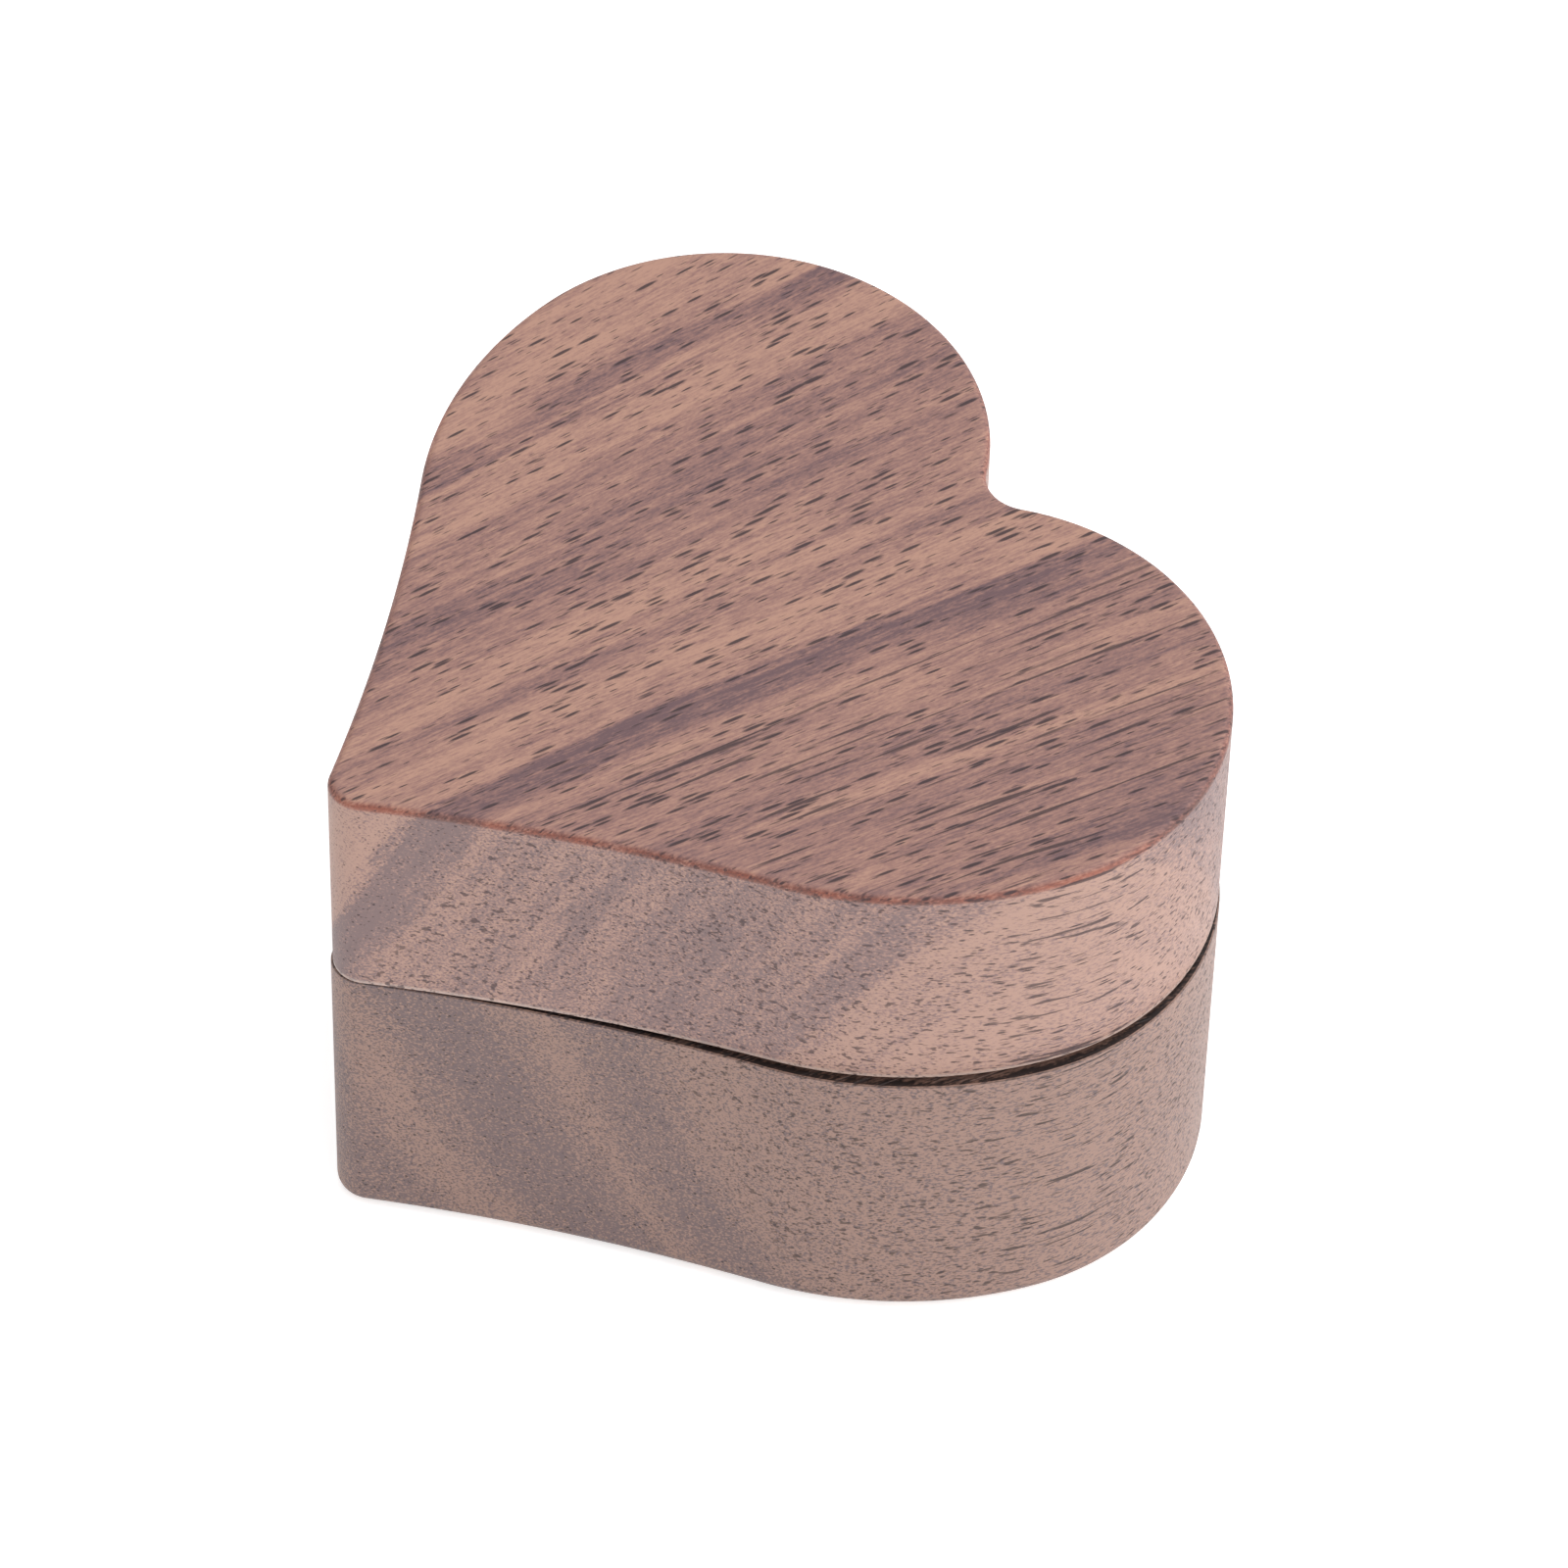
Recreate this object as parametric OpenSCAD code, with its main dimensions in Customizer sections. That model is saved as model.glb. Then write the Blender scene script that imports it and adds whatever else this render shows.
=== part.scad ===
// Heart-shaped walnut ring box. The lid swivels sideways on a hidden shoulder screw near the tip.
// Millimetres, +Z up. The origin is the centre of the footprint, on the underside of the base.
// The heart's tip points along -Y and its cleft along +Y.

/* [Outline] */
// Radius of the upper curve of each lobe
lobe_r = 17.5; // [16.5:0.1:18.5]
// Distance of each lobe's centre from the box's long axis
lobe_x = 14.1; // [13.5:0.1:14.8]
// Distance of the lobes' centres beyond the centre of the tip's rounding
lobe_y = 36.9; // [35:0.1:39]
// Radius of the wider curve that carries each lobe into its flank
shoulder_r = 27.9; // [26:0.1:30]
// Direction, seen from the lobe's centre, in which the two curves of a lobe meet
shoulder_turn = -12.5; // [-16:0.5:-8]
// Radius of the slightly hollow flanks
flank_r = 156; // [120:1:220]
// Radius of the rounding at the heart's tip
tip_r = 2.3; // [1.5:0.1:3]
// Radius of the rounding at the bottom of the cleft
cleft_r = 3; // [2:0.1:4]

/* [Heights] */
// Height of the base
base_h = 22.7; // [21:0.1:26]
// Height of the lid
lid_h = 17.3; // [16:0.1:20]
// Gap between the base and the lid, held by the thrust washer
seam = 0.2; // [0.1:0.05:0.4]
// Thickness of the base under its hollow
floor_t = 3.5; // [3:0.1:4.5]
// Depth of the hollow in the lid
lid_depth = 11.5; // [10.5:0.1:12.5]
// Thickness of the wooden wall round both hollows
wall_t = 5.5; // [5:0.1:6]
// Corner radius of the hollows beside the pivot
corner_r = 3; // [2.5:0.1:4]

/* [Pivot] */
// Distance of the pivot beyond the centre of the tip's rounding
pivot_y = 11.25; // [11:0.05:12]
// Distance from the pivot to the front wall of the hollows
pivot_to_hollow = 7.2; // [7:0.1:8]
// Angle to which the lid is left turned, counter-clockwise from above
rest_swing = 1.4; // [0:0.1:3]
// Radius of the screw's shoulder
shoulder_pin_r = 2.5; // [2.3:0.05:2.6]
// Radius of the screw's threaded end
thread_r = 2; // [1.6:0.05:2.1]
// Radius of the screw's head
head_r = 4.5; // [4.2:0.1:4.8]
// Height of the screw's head
head_h = 2.4; // [2:0.1:2.8]
// Outer radius of the brass bush
bush_r = 4; // [3.6:0.1:4.2]
// Outer radius of the thrust washer
washer_r = 5.5; // [5:0.1:6]
// Thickness of the thrust washer
washer_t = 0.7; // [0.5:0.05:0.9]
// Outer radius of the threaded insert
insert_r = 3.5; // [3.2:0.1:3.8]
// Length of the threaded insert
insert_h = 11; // [9:0.5:12]
// Radius of the counterbore that takes the head and the plug
counterbore_r = 5.2; // [5:0.1:5.5]
// Thickness of the wooden plug
plug_t = 1.9; // [1.6:0.1:2.2]

/* [Magnets] */
// Radius of a disc magnet
magnet_r = 2; // [1.5:0.1:2.2]
// Thickness of a disc magnet
magnet_t = 2; // [1:0.1:3]
// Direction of a magnet from its lobe's centre
magnet_turn = 60; // [40:1:80]

/* [Lining] */
// Thickness of the velvet on the hollows' walls
lining_t = 0.6; // [0.4:0.1:0.8]
// Thickness of the card boards
board_t = 1.2; // [0.8:0.1:1.6]
// Height of the top of the ring pads above the underside
pad_top = 14.5; // [13:0.1:15]
// Thickness of the pad in the lid
lid_pad_t = 5; // [3:0.1:5.5]
// Thickness of the velvet on the pads
cover_t = 0.8; // [0.5:0.1:1]
// Place of the ring slit's mouth along the long axis
slit_y = 9; // [7:0.5:10]
// Angle by which the slit leans back from upright
slit_lean = 45; // [35:1:45]
// Gap between the two pads at the slit
slit_gap = 0.5; // [0.4:0.1:1]

/* [Hidden] */

$fn = 180;
fine = 720;              // facets of the very large flank circles
over = 1;                // how far a cutter runs past what it cuts
big = 100;               // larger than the box
right = [1, 1];          // signs that keep a point on the right-hand side
left = [-1, 1];          // signs that carry it to the left-hand side
fit_gap = 0.05;          // clearance of parts that sit flush or turn
soft_gap = 0.1;          // clearance round the pads and boards
thread_gap = 0.03;       // radial clearance of the thread in its insert
spring_t = 0.4;          // thickness of the disc spring
spring_h = 0.8;          // height of the disc spring as assembled
socket_w = 4;            // size across corners of the screw's hexagon socket
socket_h = 1.4;          // depth of that socket

length = tip_r + lobe_y + lobe_r;
tip_c = [0, tip_r - length / 2];
lobe_c = tip_c + [lobe_x, lobe_y];
shoulder_dir = [cos(shoulder_turn), sin(shoulder_turn)];
shoulder_c = lobe_c - (shoulder_r - lobe_r) * shoulder_dir;
flank_c = crossing(tip_c, tip_r + flank_r, shoulder_c, shoulder_r + flank_r);
cleft_c = [0, lobe_c.y + sqrt(pow(lobe_r + cleft_r, 2) - lobe_x * lobe_x)];
pivot = [0, tip_c.y + pivot_y];
hollow_front = pivot.y + pivot_to_hollow;
magnet_at = lobe_c + (lobe_r - wall_t / 2) * [cos(magnet_turn), sin(magnet_turn)];

lid_z = base_h + seam;
floor_pad_z = floor_t + board_t;
head_z = plug_t + 0.4;
counterbore_h = head_z + head_h + spring_h;
washer_z = base_h - (washer_t - seam) - fit_gap;

// Point at distance rp from p and rq from q, on the right of the way from p to q
function crossing(p, rp, q, rq) =
    let (d = norm(q - p), along = (rp * rp - rq * rq + d * d) / (2 * d))
    let (aside = sqrt(rp * rp - along * along), u = (q - p) / d)
    p + along * u + aside * [u.y, -u.x];

function unit(v) = v / norm(v);
function flip(p, signs) = [p.x * signs.x, p.y * signs.y];

// ---- Outlines ----

// The heart's outline, moved inwards by w all round
module heart(w = 0) {
    low = tip_c + (tip_r - w) * unit(flank_c - tip_c);
    mid = shoulder_c + (shoulder_r - w) * unit(flank_c - shoulder_c);
    high = lobe_c + (lobe_r - w) * shoulder_dir;
    half = [low, mid, high, lobe_c];
    difference() {
        union() {
            polygon(concat([tip_c], half, [cleft_c], [for (i = [3:-1:0]) flip(half[i], left)]));
            for (signs = [left, right]) {
                translate(flip(lobe_c, signs)) circle(lobe_r - w);
                shoulder(w, mid, high, signs);
            }
            if (w < tip_r) translate(tip_c) circle(tip_r - w);
        }
        for (signs = [left, right]) translate(flip(flank_c, signs)) circle(flank_r + w, $fn = fine);
        translate(cleft_c) circle(cleft_r + w);
    }
}

// The slice of the shoulder's disc between its two ends
module shoulder(w, mid, high, signs) {
    reach = 2 * shoulder_r;
    intersection() {
        translate(flip(shoulder_c, signs)) circle(shoulder_r - w);
        polygon([for (p = [
            shoulder_c,
            shoulder_c + reach * unit(mid - shoulder_c),
            shoulder_c + reach * unit(high - shoulder_c)
        ]) flip(p, signs)]);
    }
}

// The outline of both hollows, moved inwards by w: the heart, ended across the tip by a front wall
module pocket(w = 0) {
    inset = wall_t + w;
    r = corner_r - w;
    front = hollow_front + w;
    reach = flank_r + inset + r;
    corner = [flank_c.x - sqrt(reach * reach - pow(flank_c.y - front - r, 2)), front + r];
    touch = corner + r * unit(flank_c - corner);
    intersection() {
        heart(inset);
        translate([-big / 2, touch.y]) square(big);
    }
    for (signs = [left, right]) translate(flip(corner, signs)) circle(r);
    translate([-corner.x, front]) square([2 * corner.x, r]);
    polygon([for (p = [corner, touch]) p, for (p = [touch, corner]) flip(p, left)]);
}

// ---- Helpers ----

module at_pivot() translate([pivot.x, pivot.y, 0]) children();

// Carries what is drawn with the lid's lower face at z = 0 to its place on the base
module on_base()
    translate([pivot.x, pivot.y, lid_z]) rotate([0, 0, rest_swing]) translate([-pivot.x, -pivot.y, 0]) children();

module ring(outer, inner, h) {
    difference() {
        cylinder(r = outer, h = h);
        translate([0, 0, -over]) cylinder(r = inner, h = h + 2 * over);
    }
}

// One side of the leaning slit: side is 1 behind the slit and -1 in front of it
module slit_side(side, gap) {
    translate([0, slit_y, pad_top]) rotate([-slit_lean, 0, 0])
        translate([-big / 2, side > 0 ? gap / 2 : -gap / 2 - big, -big / 2]) cube(big);
}

// A ring pad cut smaller by skin on its top, its edge and its slit face
module ring_pad(side, skin, bottom) {
    intersection() {
        translate([0, 0, bottom]) linear_extrude(pad_top - skin - bottom)
            pocket(lining_t + soft_gap + skin);
        slit_side(side, slit_gap + 2 * skin);
    }
}

module pad_cover(side) {
    difference() {
        ring_pad(side, 0, floor_pad_z);
        ring_pad(side, cover_t, floor_pad_z - over);
    }
}

module magnet(signs, z) {
    p = flip(magnet_at, signs);
    translate([p.x, p.y, z]) cylinder(r = magnet_r, h = magnet_t);
}

// ---- Base ----

module base_shell() {
    color("saddlebrown") difference() {
        linear_extrude(base_h) heart();
        translate([0, 0, floor_t]) linear_extrude(base_h) pocket();
        at_pivot() translate([0, 0, -over]) cylinder(r = counterbore_r, h = counterbore_h + over);
        at_pivot() cylinder(r = bush_r, h = base_h + over);
        at_pivot() translate([0, 0, washer_z]) cylinder(r = washer_r + fit_gap, h = base_h);
        for (signs = [left, right]) {
            magnet(signs, base_h - magnet_t - fit_gap);
            magnet(signs, base_h - magnet_t + over);
        }
    }
}

module base_wall_lining() {
    color("ivory") translate([0, 0, floor_pad_z]) linear_extrude(base_h - over - floor_pad_z)
        difference() {
            pocket();
            pocket(lining_t);
        }
}

module base_board() {
    color("tan") translate([0, 0, floor_t]) linear_extrude(board_t) pocket(soft_gap);
}

module rear_pad_foam() { color("wheat") ring_pad(1, cover_t, floor_pad_z); }

module rear_pad_cover() { color("linen") pad_cover(1); }

module front_pad_foam() { color("wheat") ring_pad(-1, cover_t, floor_pad_z); }

module front_pad_cover() { color("linen") pad_cover(-1); }

module base_magnet_left() { color("silver") magnet(left, base_h - magnet_t - fit_gap); }

module base_magnet_right() { color("silver") magnet(right, base_h - magnet_t - fit_gap); }

module pivot_bush() {
    color("goldenrod") at_pivot() translate([0, 0, counterbore_h])
        ring(bush_r, shoulder_pin_r + fit_gap, washer_z - counterbore_h);
}

module thrust_washer() {
    color("white") at_pivot() translate([0, 0, washer_z])
        ring(washer_r, shoulder_pin_r + 4 * fit_gap, washer_t);
}

module screw_plug() {
    color("sienna") at_pivot() translate([0, 0, fit_gap]) cylinder(r = counterbore_r, h = plug_t - fit_gap);
}

// ---- Lid ----

module lid_shell() {
    color("peru") on_base() difference() {
        linear_extrude(lid_h) heart();
        translate([0, 0, -over]) linear_extrude(lid_depth + over) pocket();
        at_pivot() translate([0, 0, -over]) cylinder(r = insert_r, h = insert_h + 2 * over);
        for (signs = [left, right]) {
            magnet(signs, fit_gap);
            magnet(signs, -over);
        }
    }
}

module lid_wall_lining() {
    color("ivory") on_base() translate([0, 0, over]) linear_extrude(lid_depth - board_t - over)
        difference() {
            pocket();
            pocket(lining_t);
        }
}

module lid_board() {
    color("tan") on_base() translate([0, 0, lid_depth - board_t]) linear_extrude(board_t)
        pocket(soft_gap);
}

// The lid's pad cut smaller by skin, up to the height top above the lid's lower face
module lid_pad(skin, top) {
    low = lid_depth - board_t - lid_pad_t + skin;
    translate([0, 0, low]) linear_extrude(top - low) pocket(lining_t + soft_gap + skin);
}

module lid_pad_foam() { color("wheat") on_base() lid_pad(cover_t, lid_depth - board_t); }

module lid_pad_cover() {
    color("linen") on_base() difference() {
        lid_pad(0, lid_depth - board_t);
        lid_pad(cover_t, lid_depth - board_t + over);
    }
}

module lid_magnet_left() { color("silver") on_base() magnet(left, fit_gap); }

module lid_magnet_right() { color("silver") on_base() magnet(right, fit_gap); }

module lid_insert() {
    color("goldenrod") on_base() at_pivot() ring(insert_r, thread_r, insert_h);
}

module pivot_screw() {
    color("lightsteelblue") at_pivot() translate([0, 0, head_z]) difference() {
        union() {
            cylinder(r = head_r, h = head_h);
            cylinder(r = shoulder_pin_r, h = lid_z - head_z);
            cylinder(r = thread_r - thread_gap, h = lid_z - head_z + insert_h - over);
        }
        translate([0, 0, -over]) cylinder(r = socket_w / 2, h = socket_h + over, $fn = 6);
    }
}

// A cone-shaped spring washer between the screw's head and the ceiling of the counterbore
module disc_spring() {
    in = shoulder_pin_r + 2 * fit_gap;
    out = head_r - 2 * fit_gap;
    rise = spring_h - spring_t - fit_gap;
    color("gray") at_pivot() translate([0, 0, head_z + head_h]) rotate_extrude()
        polygon([[in, rise], [out, 0], [out, spring_t], [in, rise + spring_t]]);
}

base_shell();
base_wall_lining();
base_board();
rear_pad_foam();
rear_pad_cover();
front_pad_foam();
front_pad_cover();
base_magnet_left();
base_magnet_right();
pivot_bush();
thrust_washer();
screw_plug();
lid_shell();
lid_wall_lining();
lid_board();
lid_pad_foam();
lid_pad_cover();
lid_magnet_left();
lid_magnet_right();
lid_insert();
pivot_screw();
disc_spring();
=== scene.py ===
"""Heart-shaped walnut ring box with a swivel lid: the looks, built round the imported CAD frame.

Every length in this file is in millimetres until a mesh is made, where MM turns it to metres. The axes
are the frame's own: the heart's tip points along -Y, its cleft along +Y, and the box stands on z = 0.
"""

import logging
import math
from dataclasses import dataclass
from enum import Enum
from typing import Callable, Iterable, Sequence

import bpy
import numpy as np
from mathutils import Matrix, Vector


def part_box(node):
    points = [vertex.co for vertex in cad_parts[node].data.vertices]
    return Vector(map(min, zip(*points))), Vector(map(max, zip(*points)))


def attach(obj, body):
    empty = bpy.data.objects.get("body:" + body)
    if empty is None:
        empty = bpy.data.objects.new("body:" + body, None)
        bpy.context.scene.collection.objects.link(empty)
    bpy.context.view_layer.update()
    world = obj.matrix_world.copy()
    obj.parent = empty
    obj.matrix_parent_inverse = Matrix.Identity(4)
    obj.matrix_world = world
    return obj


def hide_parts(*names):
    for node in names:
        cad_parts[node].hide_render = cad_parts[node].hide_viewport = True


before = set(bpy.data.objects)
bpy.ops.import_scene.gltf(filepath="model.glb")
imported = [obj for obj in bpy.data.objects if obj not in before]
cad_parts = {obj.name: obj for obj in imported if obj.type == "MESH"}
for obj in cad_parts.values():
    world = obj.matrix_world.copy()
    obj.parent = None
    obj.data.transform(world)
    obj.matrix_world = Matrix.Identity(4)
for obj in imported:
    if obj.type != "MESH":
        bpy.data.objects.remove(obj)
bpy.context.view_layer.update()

MM = 0.001
LOG = logging.getLogger("ring_box")
Material, Object = bpy.types.Material, bpy.types.Object
Tree, Node, Socket = bpy.types.NodeTree, bpy.types.Node, bpy.types.NodeSocket
Profile = list[tuple[float, float]]
Link = Socket | Node | float | int | bool | tuple | str


class Side(Enum):
    """Which side of the ring slit a pad lies on."""

    REAR = 1
    FRONT = -1


class Body(Enum):
    """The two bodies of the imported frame."""

    BASE = "base"
    LID = "lid"


class Slot(Enum):
    """The record's material slots."""

    BASE_WOOD = "base_wood"
    LID_WOOD = "lid_wood"
    VELVET = "velvet"
    FOAM = "foam"
    CARD = "card"
    NICKEL = "nickel_plate"
    BRASS = "brass"
    NYLON = "nylon"
    STEEL = "steel"


# ---------------------------------------------------------------- node and colour helpers


def linear(hex_colour: str) -> tuple[float, float, float, float]:
    """Turn an sRGB hex colour into the linear RGBA that shaders take.

    Args:
        hex_colour: six hex digits, such as "a0b1c2".

    Returns:
        Linear red, green, blue and an alpha of 1.
    """
    parts = [int(hex_colour[i:i + 2], 16) / 255 for i in (0, 2, 4)]
    curve = [c / 12.92 if c <= 0.04045 else ((c + 0.055) / 1.055) ** 2.4 for c in parts]
    return (*curve, 1.0)


def join(tree: Tree, node: Node, wires: dict[str | int, Link] | Sequence[Link]) -> None:
    """Link or set a node's inputs.

    Args:
        tree: the node's tree.
        node: the node.
        wires: input names or indices, or just the first inputs in order, each with a socket or a node to
            link, or a value to set.
    """
    for key, value in wires.items() if isinstance(wires, dict) else enumerate(wires):
        if isinstance(key, int):
            socket = node.inputs[key]
        else:
            socket = next(s for s in node.inputs if s.enabled and s.name == key)
        if isinstance(value, Node):
            value = next(s for s in value.outputs if s.enabled)
        if isinstance(value, Socket):
            tree.links.new(value, socket)
        else:
            socket.default_value = value


def add(tree: Tree, kind: str, settings: dict | None = None,
        wires: dict[str | int, Link] | Sequence[Link] = ()) -> Node:
    """Add one node with its settings, and link or set its inputs.

    Args:
        tree: the tree that takes the node.
        kind: the node's Blender type name, or the name of a mathematical operation.
        settings: attribute names and values of the node itself.
        wires: what its inputs are joined to, as join takes it.

    Returns:
        The new node.
    """
    if kind.isupper():
        kind, settings = "ShaderNodeMath", {"operation": kind}
    node = tree.nodes.new(kind)
    for name, value in (settings or {}).items():
        setattr(node, name, value)
    join(tree, node, wires)
    return node


def new_material(name: str) -> tuple[Material, Tree, Node]:
    """Make an empty node material with a Principled shader wired to its output.

    Args:
        name: the material's name.

    Returns:
        The material, its tree and its Principled node.
    """
    material = bpy.data.materials.new(name)
    material.use_nodes = True
    tree = material.node_tree
    tree.nodes.clear()
    shader = add(tree, "ShaderNodeBsdfPrincipled")
    add(tree, "ShaderNodeOutputMaterial", wires={"Surface": shader})
    return material, tree, shader


def millimetres(tree: Tree, turn: tuple[float, float, float] = (0, 0, 0),
                shift: tuple[float, float, float] = (0, 0, 0)) -> Node:
    """Give the surface point in millimetres, turned and then shifted.

    Args:
        tree: the material's tree.
        turn: rotation in radians about X, Y and Z.
        shift: offset in millimetres, added after the turn.

    Returns:
        The Mapping node that holds the point.
    """
    point = add(tree, "ShaderNodeTexCoord").outputs["Object"]
    return add(tree, "ShaderNodeMapping", wires={
        "Vector": point, "Location": shift, "Rotation": turn, "Scale": (1 / MM, 1 / MM, 1 / MM)})


# ---------------------------------------------------------------- finishes


@dataclass(frozen=True)
class Streak:
    """One band of darker heartwood that runs along the grain.

    Attributes:
        at: its middle, in millimetres across the grain, at the board's reference height.
        core: half the width that has its full depth.
        fade: the distance over which it dies out on each side.
        depth: how dark it is, from 0 to 1.
    """

    at: float
    core: float
    fade: float
    depth: float

    def tone(self, u: float) -> float:
        """Give its darkness at u millimetres across the grain."""
        return self.depth * min(1.0, max(0.0, 1 - (abs(u - self.at) - self.core) / self.fade))

    def knots(self) -> set[float]:
        """Give the places across the grain where its darkness turns."""
        reaches = (self.core, self.core + self.fade)
        return {round(self.at + side * reach, 2) for side in (-1, 1) for reach in reaches}


@dataclass(frozen=True)
class Walnut:
    """American black walnut, sawn, sanded to about 320 grit and oiled to a satin sheen.

    The growth rings are nearly flat sheets that hold the grain direction Y and lean from upright, so
    they show as long bands on the top and as leaning bands on the flanks. The pores are fine tubes
    along the grain: short dashes where the face runs along them and dots where it cuts them.

    Attributes:
        name: the material's name.
        pale: colour of the palest wood, as sRGB hex.
        middle: colour of the wood of middling depth.
        dark: colour of the darkest streaks.
        pore: colour down in the pores.
        eased: the tint multiplied into a rounded edge: a warm red on the lid; on the base, painted shadow,
        the dark strip of rim that the lid shades at the seam, and a little darkening on the foot's edge.
        arris_highlight: colour of a painted highlight along an arris: the lid's lower edge catching the
            light.
        lean: how far the growth rings lean from upright, in degrees.
        level: the height at which the streaks' places are given, in millimetres.
        spread: how fast the streaks fan out along the board, per millimetre.
        ground: darkness of the wood between the streaks.
        lined: how strongly the fine growth lines show.
        gritty: how strongly single fibres show.
        sheen_haze: how far the upright faces are mixed towards a greyer colour, from 0 to 1: painted sheen
            that stands in for the pale haze they reflect.
        haze_colour: the greyer colour of that painted sheen.
        haze_colour: the colour that an upright face dulls towards.
        veins_from: where, across the grain, long dark vessel lines begin to show, in millimetres.
        streaks: the bands of darker heartwood.
    """

    name: str
    pale: str
    middle: str
    dark: str
    pore: str
    eased: str
    arris_highlight: str
    lean: float
    level: float
    spread: float
    ground: float
    lined: float
    gritty: float
    sheen_haze: float
    haze_colour: str
    veins_from: float
    streaks: tuple[Streak, ...]

    def ramp(self, tree: Tree, across: Link) -> Node:
        """Lay the streaks out on a colour ramp.

        Args:
            tree: the material's tree.
            across: the place across the grain, in millimetres.

        Returns:
            The ramp node, whose colour is the darkness.
        """
        half = 40.0
        node = add(tree, "ShaderNodeValToRGB", wires={"Fac": add(tree, "ShaderNodeMapRange", wires={
            "Value": across, "From Min": -half, "From Max": half})})
        knots = sorted(set().union(*(s.knots() for s in self.streaks)))
        points = node.color_ramp.elements
        while len(points) < len(knots):
            points.new(0.5)
        for point, knot in zip(points, knots):
            point.position = (knot + half) / (2 * half)
        for point, knot in zip(points, knots):
            tone = self.ground + sum(s.tone(knot) for s in self.streaks)
            point.color = (tone, tone, tone, 1)
        return node

    def pores(self, tree: Tree, grain: Link, across: float, along: float,
              size: Link) -> Node:
        """Scatter pores of one kind through the wood.

        Args:
            tree: the material's tree.
            grain: the point in the wood, in millimetres, with Y along the grain.
            across: mean spacing of the pores across the grain, in millimetres.
            along: mean spacing along the grain, in millimetres.
            size: the largest pore's radius as a share of those spacings.

        Returns:
            A node whose value is 1 inside a pore and 0 outside.
        """
        cell = add(tree, "ShaderNodeMapping", wires={
            "Vector": grain, "Scale": (1 / across, 1 / along, 1 / across)})
        nearest = add(tree, "ShaderNodeTexVoronoi", {"voronoi_dimensions": "3D"}, {
            "Vector": cell, "Scale": 1.0, "Randomness": 1.0})
        chance = add(tree, "ShaderNodeSeparateColor", wires={0: nearest.outputs["Color"]}).outputs[0]
        crowd = stretched(tree, grain, 2.5, 14.0, 1.0)
        share = add(tree, "MULTIPLY_ADD", wires=(crowd, 1.3, add(tree, "ADD", wires=(chance, -0.65))))
        share = add(tree, "MINIMUM", wires=(add(tree, "MAXIMUM", wires=(share, 0.02)), 0.8))
        edge = add(tree, "MULTIPLY", wires=(share, size))
        return add(tree, "ShaderNodeMapRange", {"interpolation_type": "SMOOTHSTEP"}, {
            "Value": nearest.outputs["Distance"], "From Min": edge,
            "From Max": add(tree, "MULTIPLY", wires=(edge, 0.5)), "To Min": 0.0, "To Max": 1.0})

    def material(self) -> Material:
        """Build the wood.

        Returns:
            The material, made on Object coordinates.
        """
        material, tree, shader = new_material(self.name)
        lean = math.radians(self.lean)
        wood = millimetres(tree, turn=(0, -lean, 0), shift=(self.level * math.sin(lean), 0, 0))
        axes = add(tree, "ShaderNodeSeparateXYZ", wires={0: wood})
        fan = add(tree, "MULTIPLY_ADD", wires=(axes.outputs["Y"], self.spread, 1.0))
        straight = add(tree, "DIVIDE", wires=(axes.outputs["X"], fan))
        grain = add(tree, "ShaderNodeCombineXYZ", wires={
            "X": straight, "Y": axes.outputs["Y"], "Z": axes.outputs["Z"]})

        # The upright faces cut across the pores. They are also mixed towards a greyer colour: painted sheen,
        # standing in for the pale haze they reflect.
        facing = add(tree, "ShaderNodeSeparateXYZ", wires={
            0: add(tree, "ShaderNodeTexCoord").outputs["Normal"]})
        upright = add(tree, "SUBTRACT", wires=(1.0, add(tree, "ABSOLUTE", wires=(facing.outputs["Z"],))))
        end_grain = add(tree, "ABSOLUTE", wires=(facing.outputs["Y"],))

        # The bands wander by about a millimetre, and on the flat faces their edges fray into fibres.
        slow = stretched(tree, grain, 16.0, 33.0, 1.0)
        quick = stretched(tree, grain, 1.4, 10.0, 3.0, 8.0)
        frayed = stretched(tree, grain, 0.4, 14.0, 2.0, 1.2)
        wander = add(tree, "MULTIPLY_ADD", wires=(quick, 3.0, -3.0))
        wander = add(tree, "MULTIPLY_ADD", wires=(slow, 3.0, wander))
        loose = add(tree, "MULTIPLY_ADD", wires=(upright, -2.8, 3.6))
        wander = add(tree, "MULTIPLY_ADD", wires=(add(tree, "SUBTRACT", wires=(frayed, 0.5)), loose, wander))
        band = self.ramp(tree, add(tree, "ADD", wires=(straight, wander)))

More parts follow.
